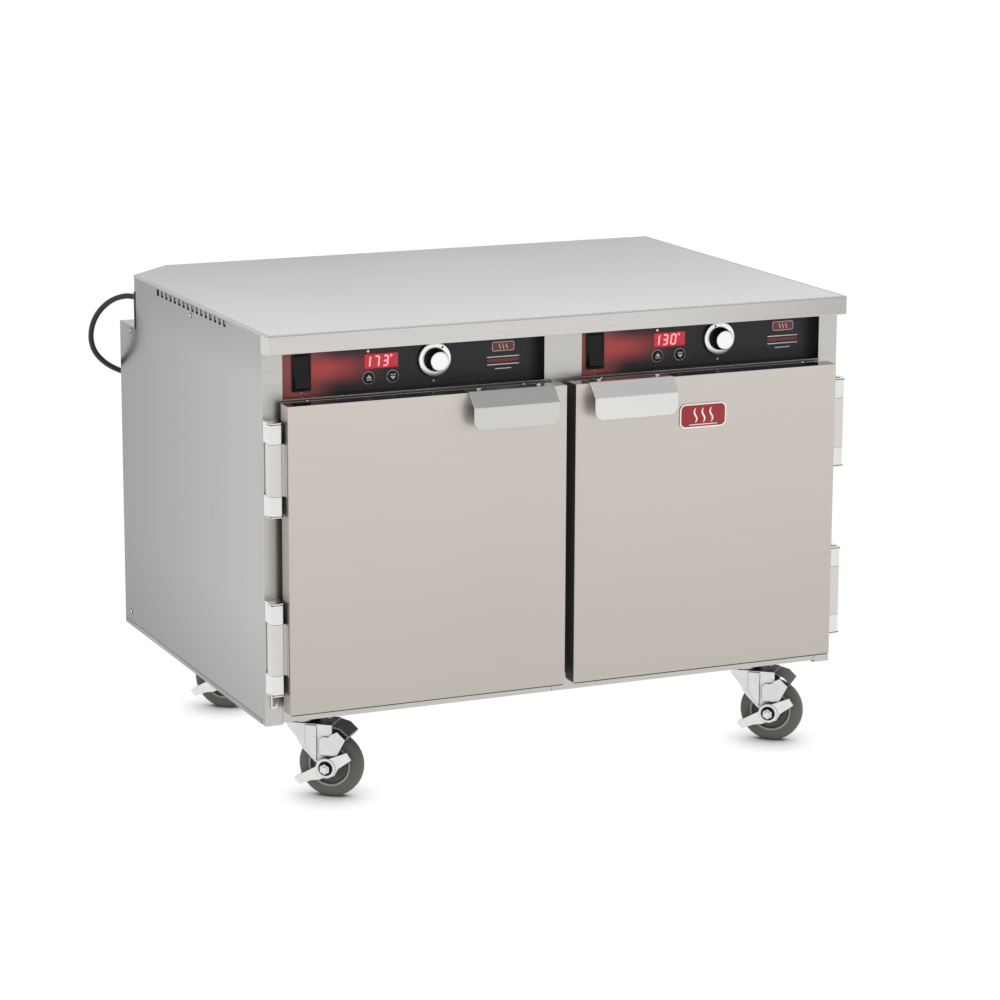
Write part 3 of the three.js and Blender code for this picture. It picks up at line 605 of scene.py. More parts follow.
def power_cord():
    centre = middle_of("cord_coil")
    plug_low, plug_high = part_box("cord_plug")
    plug_start = Vector((plug_low.x, (plug_low.y + plug_high.y) / 2, PLUG_AXIS_Z))
    wound = coil_points(centre)
    lead = centripetal([*CORD_ROUTE, wound[0]], 8)
    tail = centripetal([wound[-1], wound[-1].lerp(plug_start, 0.5) + Vector((0, 0, 0.001)), plug_start], 8)
    points = lead[:-1] + wound + tail[1:]
    data = bpy.data.curves.new("power_cord", "CURVE")
    data.dimensions = "3D"
    data.bevel_depth = CORD_DIAMETER / 2 - BEVEL_INSET
    data.bevel_resolution = 5
    data.use_fill_caps = True
    spline = data.splines.new("POLY")
    spline.points.add(len(points) - 1)
    for target, point in zip(spline.points, points):
        target.co = (*point, 1)
    data.materials.append(MATERIALS["rubber"])
    cord = bpy.data.objects.new("power_cord", data)
    SCENE.collection.objects.link(cord)
    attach(cord, "cabinet")
    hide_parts("cord_lead", "cord_coil")
    length = sum((b - a).length for a, b in zip(points, points[1:]))
    return cord, length, centre


def cord_tie(centre):
    """Flat strap around one side of the coil, laid close to the turns."""
    bm = bmesh.new()
    angle = math.radians(205)
    out = Vector((math.cos(angle), math.sin(angle), 0))
    along = Vector((-out.y, out.x, 0))
    inner, outer = COIL_INNER - 0.0062, COIL_OUTER + 0.0062
    section = rounded_outline(inner, outer, 0.0012, COIL_LOW * 2 + 0.0008, 0.0055)
    near, far = (
        [bm.verts.new(centre.xy.to_3d() + out * r + Vector((0, 0, z)) + along * half) for r, z in section]
        for half in (-TIE_WIDTH / 2, TIE_WIDTH / 2)
    )
    bridge(bm, near, far)
    return bm


def moulded_plug():
    """Grip with finger ribs, two blades and a round earth pin, lying along +x."""
    low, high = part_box("cord_plug")
    y = (low.y + high.y) / 2
    along_x = Matrix.Rotation(-math.pi / 2, 4, "Z")
    profile = [(0, 0), (0.0068, 0), (0.0072, 0.004)]
    for i in range(5):
        x = 0.006 + 0.004 * i
        profile += [(0.0078 + 0.0002 * i, x), (0.0078 + 0.0002 * i, x + 0.0022), (0.0068 + 0.0002 * i, x + 0.003)]
    profile += [(0.0135, 0.028), (0.0148, 0.033), (0.0149, 0.048), (0.0142, 0.050), (0.0149, 0.052),
                (0.0149, 0.061), (0.0135, 0.0655), (0, 0.0658)]
    body = moved(spun(profile, 48), at(low.x, y, PLUG_AXIS_Z) @ along_x)
    for vert in body.verts:
        vert.co.z = max(vert.co.z, low.z)
    grip = add_piece("plug_body", body, "rubber", replaced=("cord_plug",))
    tip = low.x + 0.0655
    blades = [
        block((tip, high.x - 0.004), (y + side * 0.0064 - 0.0007, y + side * 0.0064 + 0.0007), (0.0112, 0.0172), 0.0004)
        for side in (-1, 1)
    ]
    earth = moved(
        spun([(0, 0), (0.0023, 0), (0.0023, 0.019), (0.0012, 0.0222), (0, 0.0224)], 24),
        at(tip, y, PLUG_AXIS_Z / 2) @ along_x,
    )
    pins = add_piece("plug_blades", [*blades, earth], "screw")
    return grip, pins


def strain_relief():
    """Flanged gland in the cut-off corner with a ribbed, tapered sleeve on the cord."""
    out = Vector((-1, 1, 0)).normalized()
    port = Vector(CORD_ROUTE[0]) - out * SLEEVE_LENGTH
    turn = Vector((0, 1, 0)).rotation_difference(out).to_matrix().to_4x4()
    profile = [(0, -0.0088), (0.0149, -0.0088), (0.0149, -0.0027), (0.0107, -0.0027), (0.0107, 0.0004),
               (0.0159, 0.0004), (0.0159, 0.0062), (0.0152, 0.007), (0.0112, 0.0083)]
    for i in range(6):
        y = 0.0095 + 0.0042 * i
        radius = 0.0103 - 0.0004 * i
        profile += [(radius, y), (radius, y + 0.0026), (radius - 0.0013, y + 0.0031), (radius - 0.0013, y + 0.0040)]
    profile += [(0.0073, 0.0358), (0, 0.0358)]
    gland = moved(spun(profile, 48), at(*port) @ turn)
    return add_piece("gland_sleeve", gland, "rubber", replaced=("cord_gland",))


cord_piece, cord_length, coil_centre = power_cord()
plug_grip, plug_pins = moulded_plug()
strain_relief()
tie = add_piece("cord_tie", cord_tie(coil_centre), "black_plastic")
refined("cord_hook", "frame", 0.0006)


# ---------------------------------------------------------------- cabinet shell
TOP_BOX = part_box("worktop")
HEM_WIDTH = 0.006
HEM_DEPTH = 0.0026


def on_hem(centre, normal):
    inside = all(TOP_BOX[0][i] + HEM_WIDTH < centre[i] < TOP_BOX[1][i] - HEM_WIDTH for i in (0, 1))
    return not inside if normal.z > 0.5 else centre.z > WORKTOP_Z - HEM_DEPTH


HEM_LINES = [
    (Vector([end[i] + step if i == axis else 0 for i in range(3)]), Vector([float(i == axis) for i in range(3)]))
    for end, step in zip(TOP_BOX, (HEM_WIDTH, -HEM_WIDTH)) for axis in (0, 1)
]
HEM_LINES.append((Vector((0, 0, WORKTOP_Z - HEM_DEPTH)), Vector((0, 0, 1))))
# the lip and the hem band are darker copies of the worktop's steel: painted shade
refined("worktop", "worktop", 0.0010, 2,
        [("lip", lambda centre, normal: normal.z < 0.5), ("hem", on_hem)], HEM_LINES)
refined("casing", "side", 0.0006, 2, [("frame", lambda centre, normal: normal.y > 0.5)])
refined("front_frame", "frame", 0.0008, 2, [
    ("fold", lambda centre, normal: abs(normal.y) < 0.5 and abs(centre.x) < HALF_WIDTH - 0.002),
    ("side", lambda centre, normal: abs(normal.x) > 0.5 and abs(centre.x) > HALF_WIDTH - 0.002),
])
refined("base_frame", "galvanised", 0.0008)
for side in SIDES:
    refined(f"{side}_liner", "liner", 0.0006)
    refined(f"{side}_rack", "chrome", 0.0004)
    refined(f"{side}_heater", "sheath", 0.0002)

CORNER_Y = BACK_FACE - 0.100
CORNER_SPAN = (0.812, 0.889)
CORNER_CUT = 0.11
SIDE_SCREWS = ((FRAME_FACE + 0.398, 0.8950), (BACK_FACE - 0.070, 0.8050), (BACK_FACE - 0.040, CASING_LOW + 0.03))
BACK_SCREW_STEP = 0.190
BACK_SCREW = (0.0042, 0.0022)
BACK_SCREW_ROWS = (0.34, 0.50, 0.66, 0.78)
RIVET_X = (-0.512, -0.075)
RIVET_Z = 0.7905
SILLS = {"left": (-0.560, -0.032), "right": (0.046, 0.560)}
VENT_SPAN = {"y": (FRAME_FACE + 0.190, FRAME_FACE + 0.645), "z": (0.900, 0.9185)}


def facing(direction):
    """Turns a piece drawn towards -y so that it stands out along the direction."""
    return Vector((0, -1, 0)).rotation_difference(Vector(direction)).to_matrix().to_4x4()


def shell_fasteners():
    """Screws along both sides and round the back panel, each side screw with a dark ring round it as painted shadow."""
    parts = []
    shadow_rings = []
    for sign in SIDES.values():
        for y, z in SIDE_SCREWS:
            place = at(sign * HALF_WIDTH, y, z) @ facing((sign, 0, 0))
            parts.append(moved(screw_head(0.0034, 0.0016), place))
            # painted shadow: dark ring round each side screw
            shadow_rings.append(moved(ring(0, 0, 0.0052, 0.0034, -0.0005, 0.0002), place))
    spots = []
    reach = HALF_WIDTH - 0.03
    rows = round(2 * reach / BACK_SCREW_STEP)
    for i in range(rows + 1):
        x = -HALF_WIDTH + 0.03 + 2 * reach * i / rows
        for z in (CASING_LOW + 0.02, WORKTOP_Z - 0.03):
            if x > -HALF_WIDTH + CORNER_CUT or z < CORNER_SPAN[0]:
                spots.append((x, z))
    spots += [(sign * (HALF_WIDTH - 0.02), z) for z in BACK_SCREW_ROWS for sign in SIDES.values()]
    parts += [moved(screw_head(*BACK_SCREW), at(x, BACK_FACE, z) @ facing((0, 1, 0))) for x, z in spots]
    add_piece("shell_screws", parts, "screw")
    add_piece("screw_painted_shadows", shadow_rings, "dark_gap")


def corner_trim():
    """Rubber channel over the raw edge of the side panel, where the corner is cut off."""
    x = -HALF_WIDTH
    outer = block((x - 0.0016, x + 0.0036), (CORNER_Y - 0.0042, CORNER_Y + 0.0012), CORNER_SPAN, 0.0009, 3)
    wrap = block((x - 0.0002, x + 0.0040), (CORNER_Y - 0.002, CORNER_Y + 0.0034), CORNER_SPAN, 0.0009, 3)
    add_piece("corner_trim", [outer, wrap], "rubber")


def side_hems():
    """Folded hem along the foot of each side panel."""
    for side, sign in SIDES.items():
        x = sign * HALF_WIDTH
        length, height = (FRAME_FACE + 0.020, BACK_FACE - 0.002), (CASING_LOW, CASING_LOW + 0.009)
        foot = block((x, x + sign * 0.0009), length, height, 0.0004)
        add_piece(f"{side}_side_hem", foot, "side")


def frame_seams():
    """Fine butt joints between the stiles, rails and mullion of the front frame."""
    depth = (FRAME_FACE - 0.00012, FRAME_FACE + 0.0003)
    upright = ((-0.566, 0.892, 0.918), (-0.566, 0.1785, 0.224), (0.566, 0.892, 0.918), (0.566, 0.1785, 0.224),
               (-0.0305, 0.782, 0.796), (0.0445, 0.782, 0.796), (-0.012, 0.182, 0.2255))
    parts = [block((x - 0.0003, x + 0.0003), depth, (z0, z1)) for x, z0, z1 in upright]
    parts.append(block((-0.0315, 0.0455), depth, (0.7962, 0.7968)))
    add_piece("frame_seams", parts, "dark_gap")


def sill_strips():
    """Dark band along the rail under each control opening as painted shade, with a bright line on it as a painted
    highlight.
    """
    for side, (x0, x1) in SILLS.items():
        # painted shade: dark gloss band on the rail
        dark = block((x0, x1), (FRAME_FACE - 0.0003, FRAME_FACE + 0.0002), (0.7828, 0.7952), 0.0001)
        add_piece(f"{side}_sill_painted_shade", dark, "dark_gloss")
        # painted highlight: bright line in the worktop lip's steel
        highlight_line = block((x0, x1), (FRAME_FACE - 0.0009, FRAME_FACE + 0.0002), (0.7905, 0.7918), 0.0003)
        add_piece(f"{side}_sill_painted_highlight", highlight_line, "lip")


def vent_screens():
    """Plain sheet a little way behind the side vents."""
    for side, sign in SIDES.items():
        x = sign * (HALF_WIDTH - 0.0055)
        sheet = block((x - 0.0004, x + 0.0004), VENT_SPAN["y"], VENT_SPAN["z"])
        add_piece(f"{side}_vent_screen", sheet, "side")


def hinge_foot():
    """Small stop plate on the frame under the lower left hinge."""
    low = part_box("left_lower_hinge_frame_leaf")[0].z
    stop = block((-0.5900, -0.5770), (FRAME_FACE - 0.0022, FRAME_FACE + 0.0003), (low - 0.032, low - 0.001), 0.0008)
    slot = block((-0.5868, -0.5802), (FRAME_FACE - 0.0024, FRAME_FACE - 0.0010), (low - 0.028, low - 0.004), 0.0001)
    add_piece("hinge_foot", stop, "cast")
    # painted shade: a dark patch, standing proud, for the slot's hollow
    add_piece("hinge_foot_slot_shade", slot, "sheath")


def frame_rivets():
    """Small rivets at the foot of each control opening."""
    parts = []
    for shift in (0.0, PANEL_SHIFT):
        for x in RIVET_X:
            head = spun([(0, 0), (0.0026, 0), (0.0024, -0.0008), (0.0012, -0.0014), (0, -0.0015)], 20)
            parts.append(moved(head, at(x + shift, FRAME_FACE, RIVET_Z)))
    add_piece("frame_rivets", parts, "screw")


shell_fasteners()
corner_trim()
side_hems()
frame_seams()
sill_strips()
vent_screens()
hinge_foot()
frame_rivets()


# ---------------------------------------------------------------- doors
PIN_X = 0.590
PIN_Y = FRAME_FACE - 0.024
PIN_REACH = 0.0889
KNUCKLE_SPAN = (0.5744, 0.5996)
HANDLE_SCREW_INSET = 0.026


def handle_screws(side):
    low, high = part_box(f"{side}_door_handle")
    top = DOOR_BOX[side][1].z + 0.0023
    parts = [
        moved(screw_head(0.0052, 0.0034), at(x, DOOR_FACE + 0.013, top) @ facing((0, 0, 1)))
        for x in (low.x + HANDLE_SCREW_INSET, high.x - HANDLE_SCREW_INSET)
    ]
    add_piece(f"{side}_handle_screws", parts, "screw", f"{side}_door_leaf")


def door_shadow_strip(side):
    """Thin strip of dark gasket rubber along the underside of a door, put there as painted shadow: the dark line under
    its foot.
    """
    low, high = DOOR_BOX[side]
    across, through = (low.x + 0.003, high.x - 0.003), (low.y + 0.0012, high.y - 0.004)
    # painted shadow: the strip shows as a dark line below the door's front edge
    strip = block(across, through, (low.z - 0.0022, low.z + 0.0005), 0.0003)
    add_piece(f"{side}_door_shadow_strip", strip, "gasket", f"{side}_door_leaf")


def hinge_details(side, sign, level):
    """Dark bearing washers against the moving knuckle, and a cap over each end of the pin."""
    low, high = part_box(f"{side}_{level}_hinge_frame_leaf")
    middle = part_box(f"{side}_{level}_hinge_door_leaf")
    z = (low.z + high.z) / 2
    washers = []
    for end, edge in ((-1, middle[0].z), (1, middle[1].z)):
        across, height = [sign * x for x in KNUCKLE_SPAN], (edge + end * 0.0003, edge + end * 0.0017)
        washers.append(block(across, (low.y - 0.0002, low.y + 0.020), height, 0.0002))
    add_piece(f"{side}_{level}_hinge_washers", washers, "black_plastic")
    caps = [
        moved(spun([(0, -0.0006), (0.0062, -0.0006), (0.0066, 0.0004), (0.0062, 0.0018), (0, 0.0022)], 28),
              at(sign * PIN_X, PIN_Y, z + end * PIN_REACH) @ facing((0, 0, -end)))
        for end in (-1, 1)
    ]
    add_piece(f"{side}_{level}_hinge_caps", caps, "screw")


BADGE = {"x": 0.2788, "z": 0.7147, "wide": 0.100, "high": 0.048, "thick": 0.003}


def wisps(x, z, pitch, wide, high, thick, y0, y1):
    """Three upright wisps of steam, side by side."""
    return [wave(x + step * pitch, z, wide, high, thick, y0, y1) for step in (-1, 0, 1)]


def wave(x, z, wide, high, thick, y0, y1):
    """One upright wisp of steam: a band that narrows towards its ends, along two bends."""
    steps = 20
    left, right = [], []
    for i in range(steps + 1):
        u = i / steps
        across = x + wide * math.sin(2 * math.pi * u)
        slim = thick * (0.35 + 0.65 * math.sin(math.pi * u))
        left.append((across - slim, z + high * (u - 0.5)))
        right.append((across + slim, z + high * (u - 0.5)))
    return plate([*left, *reversed(right)], y0, y1)


def badge():
    """Plain enamelled plate with three wisps of steam, in a bright rim."""
    x, z, half_wide, half_high = BADGE["x"], BADGE["z"], BADGE["wide"] / 2, BADGE["high"] / 2
    face = DOOR_FACE - BADGE["thick"]
    rim = plate(rounded_outline(x - half_wide, x + half_wide, z - half_high, z + half_high, 0.012, 10),
                face + 0.0006, DOOR_FACE - 0.00005, 0.0008)
    add_piece("badge_rim", rim, "screw", "right_door_leaf")
    inner = plate(rounded_outline(x - half_wide + 0.003, x + half_wide - 0.003, z - half_high + 0.003,
                                  z + half_high - 0.003, 0.0095, 10), face, face + 0.0012, 0.0004)
    add_piece("badge_enamel", inner, "badge_red", "right_door_leaf")
    depth = (face - 0.0005, face + 0.0003)
    steam = wisps(x, z + 0.001, 0.017, 0.0028, 0.028, 0.0020, *depth)
    bar = block((x - 0.030, x + 0.030), depth, (z - 0.0178, z - 0.0162), 0.0003)
    add_piece("badge_wisps", [*steam, bar], "print_white", "right_door_leaf")


for side, sign in SIDES.items():
    # the door tops take the dark fold copy and the inner edges the dark edge copy, both painted shade
    edges = [("fold", lambda centre, normal: normal.z > 0.5),
             ("break_strip", lambda centre, normal, sign=sign: normal.x * sign < -0.9)]
    refined(f"{side}_door", "door", 0.0022, 4, edges)
    refined(f"{side}_door_gasket", "gasket", 0.002, 3)
    # the handle's sloped face takes its painted light copy, its ends the painted shade edge copy
    bends = [(f"{side}_slope", lambda centre, normal: normal.z > 0.2 and normal.y < -0.1),
             ("break_strip", lambda centre, normal: abs(normal.x) > 0.7)]
    refined(f"{side}_door_handle", f"{side}_handle", 0.0005, 2, bends)
    handle_screws(side)
    door_shadow_strip(side)
    for level in ("upper", "lower"):
        refined(f"{side}_{level}_hinge_frame_leaf", "knuckle", 0.0005)
        refined(f"{side}_{level}_hinge_door_leaf", "leaf", 0.0004)
        hinge_details(side, sign, level)
badge()


# ---------------------------------------------------------------- controls
ROCKER_Z = 0.840
LENS = {"x": (-0.3868, -0.3197), "z": (0.8373, 0.8647)}
LAMP = (-0.3792, 0.8704)
BUTTONS = {"up": -0.3784, "down": -0.330}
BUTTON_Z = 0.820
KNOB_X = -0.247
STRIPES = {"x": (-0.1376, -0.0713), "rows": ((0.8418, "print_white"), (0.8345, "print_red"), (0.8272, "print_white"))}
FIGURES = {"left": "173", "right": "130"}
FIGURE_DEPTH = (PANEL_FACE - 0.0021, PANEL_FACE - 0.0015)
PRINT_DEPTH = (PANEL_FACE - 0.0003, PANEL_FACE - 0.00002)
ON_PANEL = PANEL_FACE - 0.00005
SEGMENTS = {"0": "abcdef", "1": "bc", "3": "abcdg", "7": "abc"}


def figure(char, x, z, wide, high):
    """Seven-segment figure as thin bars, leaning a little to the right."""
    t = 0.25 * wide
    gap = 0.10 * t
    middle = high / 2
    bars = {
        "a": ((t, wide - t), (high - t, high)), "g": ((t, wide - t), (middle - t / 2, middle + t / 2)),
        "d": ((t, wide - t), (0, t)), "f": ((0, t), (middle + gap, high - t / 2)), "e": ((0, t), (t / 2, middle - gap)),
        "b": ((wide - t, wide), (middle + gap, high - t / 2)), "c": ((wide - t, wide), (t / 2, middle - gap)),
    }
    parts = [block(bars[s][0], FIGURE_DEPTH, bars[s][1], 0.0002) for s in SEGMENTS[char]]
    lean = Matrix(((1, 0, 0.11, 0), (0, 1, 0, 0), (0, 0, 1, 0), (0, 0, 0, 1)))
    return [moved(part, at(x, 0, z) @ lean) for part in parts]


def display(side, shift):
    lens = plate(rounded_outline(LENS["x"][0] + shift, LENS["x"][1] + shift, *LENS["z"], 0.002),
                 PANEL_FACE - 0.0015, ON_PANEL, 0.0004)
    add_piece(f"{side}_display_lens", lens, "display")
    wide, high, pitch = 0.0125, 0.0215, 0.0178
    x0 = LENS["x"][0] + shift - 0.0012
    z0 = (LENS["z"][0] + LENS["z"][1] - high) / 2
    parts = [bar for i, char in enumerate(FIGURES[side]) for bar in figure(char, x0 + i * pitch, z0, wide, high)]
    parts.append(ring(x0 + 3 * pitch + 0.0012, z0 + high - 0.0016, 0.0023, 0.0011, *FIGURE_DEPTH))
    add_piece(f"{side}_display_figures", parts, "digit")
    lamp = spun([(0, 0), (0.0023, 0), (0.0023, -0.0008), (0.0014, -0.0017), (0, -0.002)], 24)
    lamp = moved(lamp, at(LAMP[0] + shift, ON_PANEL, LAMP[1]))
    add_piece(f"{side}_lamp", lamp, "digit")


def rocker_bezel(side, shift):
    """Moulded surround that stands proud of the panel round the power switch."""
    x = ROCKER_X + shift
    outer = rounded_outline(x - 0.0188, x + 0.0188, ROCKER_Z - 0.0358, ROCKER_Z + 0.0358, 0.003)
    inner = rounded_outline(x - 0.0151, x + 0.0151, ROCKER_Z - 0.0320, ROCKER_Z + 0.0320, 0.0012)
    bm = bmesh.new()
    proud = PANEL_FACE - 0.0034
    section = ((outer, ON_PANEL), (outer, proud), (inner, proud), (inner, ON_PANEL))
    layers = [[bm.verts.new((px, y, pz)) for px, pz in edge] for edge, y in section]
    for first, second in zip(layers, [*layers[1:], layers[0]]):
        bridge(bm, first, second)
    bmesh.ops.recalc_face_normals(bm, faces=bm.faces)
    add_piece(f"{side}_rocker_bezel", bevelled(bm, 0.0006), "black_plastic")


def button_print(side, shift):
    """Ring round each push button and an arrow on it, a dot under the knob, a tick under the rocker."""
    thin = (PANEL_FACE - 0.0002, PANEL_FACE - 0.00002)
    rings = [ring(x + shift, BUTTON_Z, 0.0120, 0.0105, *thin) for x in BUTTONS.values()]
    dot = spun([(0, 0), (0.0021, 0), (0.0019, -0.0002), (0, -0.0002)], 20)
    dot = moved(dot, at(KNOB_X + shift, PANEL_FACE, 0.8054))
    middle = ROCKER_X + shift
    tick = block((middle - 0.002, middle + 0.002), (PANEL_FACE - 0.0002, PANEL_FACE), (0.8005, 0.8017))
    add_piece(f"{side}_panel_print", [*rings, dot, tick], "print_grey")
    for (label, x), way in zip(BUTTONS.items(), (1, -1)):
        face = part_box(f"{side}_{label}_button")[0].y
        depth = (face - 0.0002, face + 0.0002)
        foot, tip = BUTTON_Z - way * 0.0006, BUTTON_Z + way * 0.0062
        head = plate([(x + shift - 0.0058, foot), (x + shift + 0.0058, foot), (x + shift, tip)], *depth)
        bar = block((x + shift - 0.0052, x + shift + 0.0052), depth, (BUTTON_Z - way * 0.0046, BUTTON_Z - way * 0.0028))
        add_piece(f"{side}_{label}_arrow", [head, bar], "print_grey", f"{side}_{label}_button")


def maker_marks(side, shift):
    """Plain stripes and a small shield with wisps of steam, in place of a maker's printing."""
    x0, x1 = STRIPES["x"][0] + shift, STRIPES["x"][1] + shift
    for i, (z, colour) in enumerate(STRIPES["rows"]):
        half = 0.0034 if colour == "print_red" else 0.0009
        bar = block((x0, x1), PRINT_DEPTH, (z - half, z + half), 0.0001)
        add_piece(f"{side}_stripe_{i + 1}", bar, colour)
    middle = (x0 + x1) / 2
    line = block((middle - 0.017, middle + 0.017), PRINT_DEPTH, (0.8183, 0.8199), 0.0001)
    add_piece(f"{side}_stripe_4", line, "print_white")
    shield = rounded_outline(middle - 0.023, middle + 0.023, 0.8525, 0.8705, 0.004)
    rim = plate(shield, *PRINT_DEPTH)
    add_piece(f"{side}_mark_rim", rim, "print_grey")
    field = plate(rounded_outline(middle - 0.0217, middle + 0.0217, 0.8538, 0.8692, 0.0028),
                  PANEL_FACE - 0.0005, PANEL_FACE - 0.0002)
    add_piece(f"{side}_mark_field", field, "print_red")
    steam = wisps(middle, 0.8615, 0.0072, 0.0012, 0.0105, 0.0009, PANEL_FACE - 0.0007, PANEL_FACE - 0.0004)
    add_piece(f"{side}_mark_wisps", steam, "print_white")


FLUTES = 30
POINTER_TURN = {"left": 33, "right": -22}


def fluted_grip(radius_back, radius_front, back, front):
    """Tapering grip with shallow flutes all round, closed at both ends."""
    bm = bmesh.new()
    steps = FLUTES * 6
    levels = ((back, radius_back, 0.0), (back - 0.0008, radius_back, 1.0), (front + 0.0012, radius_front, 1.0),
              (front, radius_front - 0.0012, 0.0))
    rings = []
    for y, radius, depth in levels:
        loop = []
        for i in range(steps):
            angle = 2 * math.pi * i / steps
            r = radius - depth * 0.0011 * (0.5 + 0.5 * math.cos(FLUTES * angle)) ** 2
            loop.append(bm.verts.new((r * math.cos(angle), y, r * math.sin(angle))))
        rings.append(loop)
    for first, second in zip(rings, rings[1:]):
        bridge(bm, first, second)
    bm.faces.new(rings[0])
    bm.faces.new(rings[-1])
    return bm


def control_knob(side):
    """Bright skirt with a dark pointer on it, dark fluted grip and bright turned cap, on a black ring that is painted
    shadow round the skirt.
    """
    middle = middle_of(f"{side}_knob")
    place = at(middle.x, PANEL_FACE, middle.z)
    body = f"{side}_knob"
    # painted shadow: black ring round the skirt on the panel
    shadow_ring = moved(ring(0, 0, 0.0348, 0.0240, -0.0008, -0.00005), place)
    add_piece(f"{side}_knob_painted_shadow", shadow_ring, "black_plastic")
    skirt = spun([(0, -0.001), (0.0322, -0.001), (0.033, -0.0022), (0.033, -0.0052), (0.0318, -0.0072),
                  (0.0295, -0.008), (0.0232, -0.0082), (0.0226, -0.0074), (0, -0.0074)], 96)
    add_piece(f"{side}_knob_skirt", moved(skirt, place), "cap", body, (f"{side}_knob",))
    grip = moved(fluted_grip(0.0222, 0.0196, -0.0076, -0.0300), place)
    add_piece(f"{side}_knob_grip", mesh_of(grip, "grip", 50), "black_plastic", body)
    cap = spun([(0, -0.0288), (0.0184, -0.0288), (0.0186, -0.0302), (0.0183, -0.0312), (0.0174, -0.0319),
                (0.0160, -0.0319), (0.0156, -0.0314), (0.006, -0.0316), (0, -0.0317)], 96)
    add_piece(f"{side}_knob_cap", moved(cap, place), "cap", body)
    turn = Matrix.Rotation(math.radians(POINTER_TURN[side]), 4, "Y")
    pointer = block((-0.0014, 0.0014), (-0.0087, -0.0070), (0.0242, 0.0292), 0.0003)
    pointer = moved(pointer, place @ turn)
    add_piece(f"{side}_knob_pointer", pointer, "black_plastic", body)


for side in SIDES:
    shift = PANEL_SHIFT if side == "right" else 0.0
    MATERIALS[f"{side}_enamel"] = control_enamel(side)
    refined(f"{side}_control_panel", f"{side}_enamel", 0.0005)
    for part, width, segments in (("rocker", 0.0009, 3), ("up_button", 0.0004, 2), ("down_button", 0.0004, 2)):
        refined(f"{side}_{part}", "black_plastic", width, segments)
    control_knob(side)
    rocker_bezel(side, shift)
    display(side, shift)
    button_print(side, shift)
    maker_marks(side, shift)


# ---------------------------------------------------------------- casters
CASTERS = [f"{end}_{side}_caster" for end in ("front", "rear") for side in SIDES]
CASTER_TURN = math.radians(-40)
TRAIL = 0.056
AXLE_Z = 0.0635
LEG_FACE = 0.030
LEVER_FACE = -LEG_FACE - 0.0078
CROWN_REAR = 0.066
CROWN_TOP = 0.1477
RACE_Z = 0.1548
PLATE_UNDERSIDE = 0.1567


def caster_place(caster):
    """From a caster's own frame, with the wheel trailing along +x, to the cabinet's."""
    middle = middle_of(f"{caster}_plate")
    return at(middle.x, middle.y, FLOOR_Z) @ Matrix.Rotation(CASTER_TURN, 4, "Z")


def both_ways(half):
    """A profile drawn on the +y side only, mirrored to the -y side and closed."""
    whole = [*half, *[(r, -y) for r, y in reversed(half)]]
    return [*whole, whole[0]]


TYRE = [(0.0375, 0.0130), (0.0398, 0.0148), (0.0425, 0.0157), (0.0480, 0.0160), (0.0540, 0.0156), (0.0585, 0.0142),
        (0.0612, 0.0118), (0.0627, 0.0088), (0.0634, 0.0052), (0.0635, 0.0020)]
BAND = [(0.0376, 0.0141), (0.0384, 0.0158), (0.0398, 0.0165), (0.0412, 0.0163), (0.0419, 0.0152)]
HUB = [(0.0080, 0.0263), (0.0120, 0.0263), (0.0130, 0.0252), (0.0145, 0.0124), (0.0195, 0.0103), (0.0245, 0.0101),
       (0.0252, 0.0112), (0.0268, 0.0112), (0.0276, 0.0100), (0.0352, 0.0104), (0.0372, 0.0128), (0.0379, 0.0140)]


def caster_wheel(caster, place):
    axle = place @ at(TRAIL, 0, AXLE_Z)
    body = f"{caster}_roller"
    tyre = mesh_of(moved(spun(both_ways(TYRE), 112), axle), "tyre", 60)
    band = mesh_of(moved(spun(both_ways(BAND), 96), axle), "band", 60)
    add_piece(f"{caster}_tyre", tyre, "tyre", body, (f"{caster}_wheel",))
    add_piece(f"{caster}_band", band, "hub_ring", body)
    add_piece(f"{caster}_hub", moved(spun(both_ways(HUB), 96), axle), "hub", body)


def caster_fork(caster, place):
    """Fork with a broad pressed rib down each leg; the brake shoe's hood is dark, and the crown's top takes the same
    dark finish as a painted reflection of the cabinet's dark underside.
    """
    back = place.inverted()

    def dark(centre, normal):
        spot = back @ centre
        hood = spot.x > CROWN_REAR + 0.0005 and spot.z > 0.1205 and spot.y > -LEG_FACE - 0.0001
        # painted reflection: the crown's top is made dark for the cabinet's underside above it
        return hood or (spot.z > CROWN_TOP - 0.0002 and normal.z > 0.9)

    edge = (place @ Vector((CROWN_REAR + 0.0005, 0, 0)), place.to_3x3() @ Vector((1, 0, 0)))
    refined(f"{caster}_fork", "chrome", 0.0007, 2, [("guard", dark)], [edge])
    ribs = []
    for way in (-1, 1):
        depth = sorted((way * (LEG_FACE - 0.0014), way * (LEG_FACE + 0.0026)))
        ribs.append(plate([(0.0125, 0.1460), (0.0362, 0.1460), (0.0362, 0.0750), (0.0125, 0.1040)], *depth, 0.0024, 5))
    race = moved(spun([(0.0325, -0.0020), (0.0345, -0.0018), (0.0356, 0.0004), (0.0354, 0.0030), (0.0340, 0.0046),
                       (0.0325, 0.0050), (0.0325, -0.0020)], 72),
                 at(0, 0, RACE_Z) @ Matrix.Rotation(math.pi / 2, 4, "X"))
    add_piece(f"{caster}_ribs", [moved(part, place) for part in ribs], "chrome", f"{caster}_swivel")
    add_piece(f"{caster}_race", moved(race, place), "chrome")


def hexagon(radius, y0, y1, width=0.0007):
    corners = [(radius * math.cos(math.pi * i / 3), radius * math.sin(math.pi * i / 3)) for i in range(6)]
    return plate(corners, y0, y1, width)


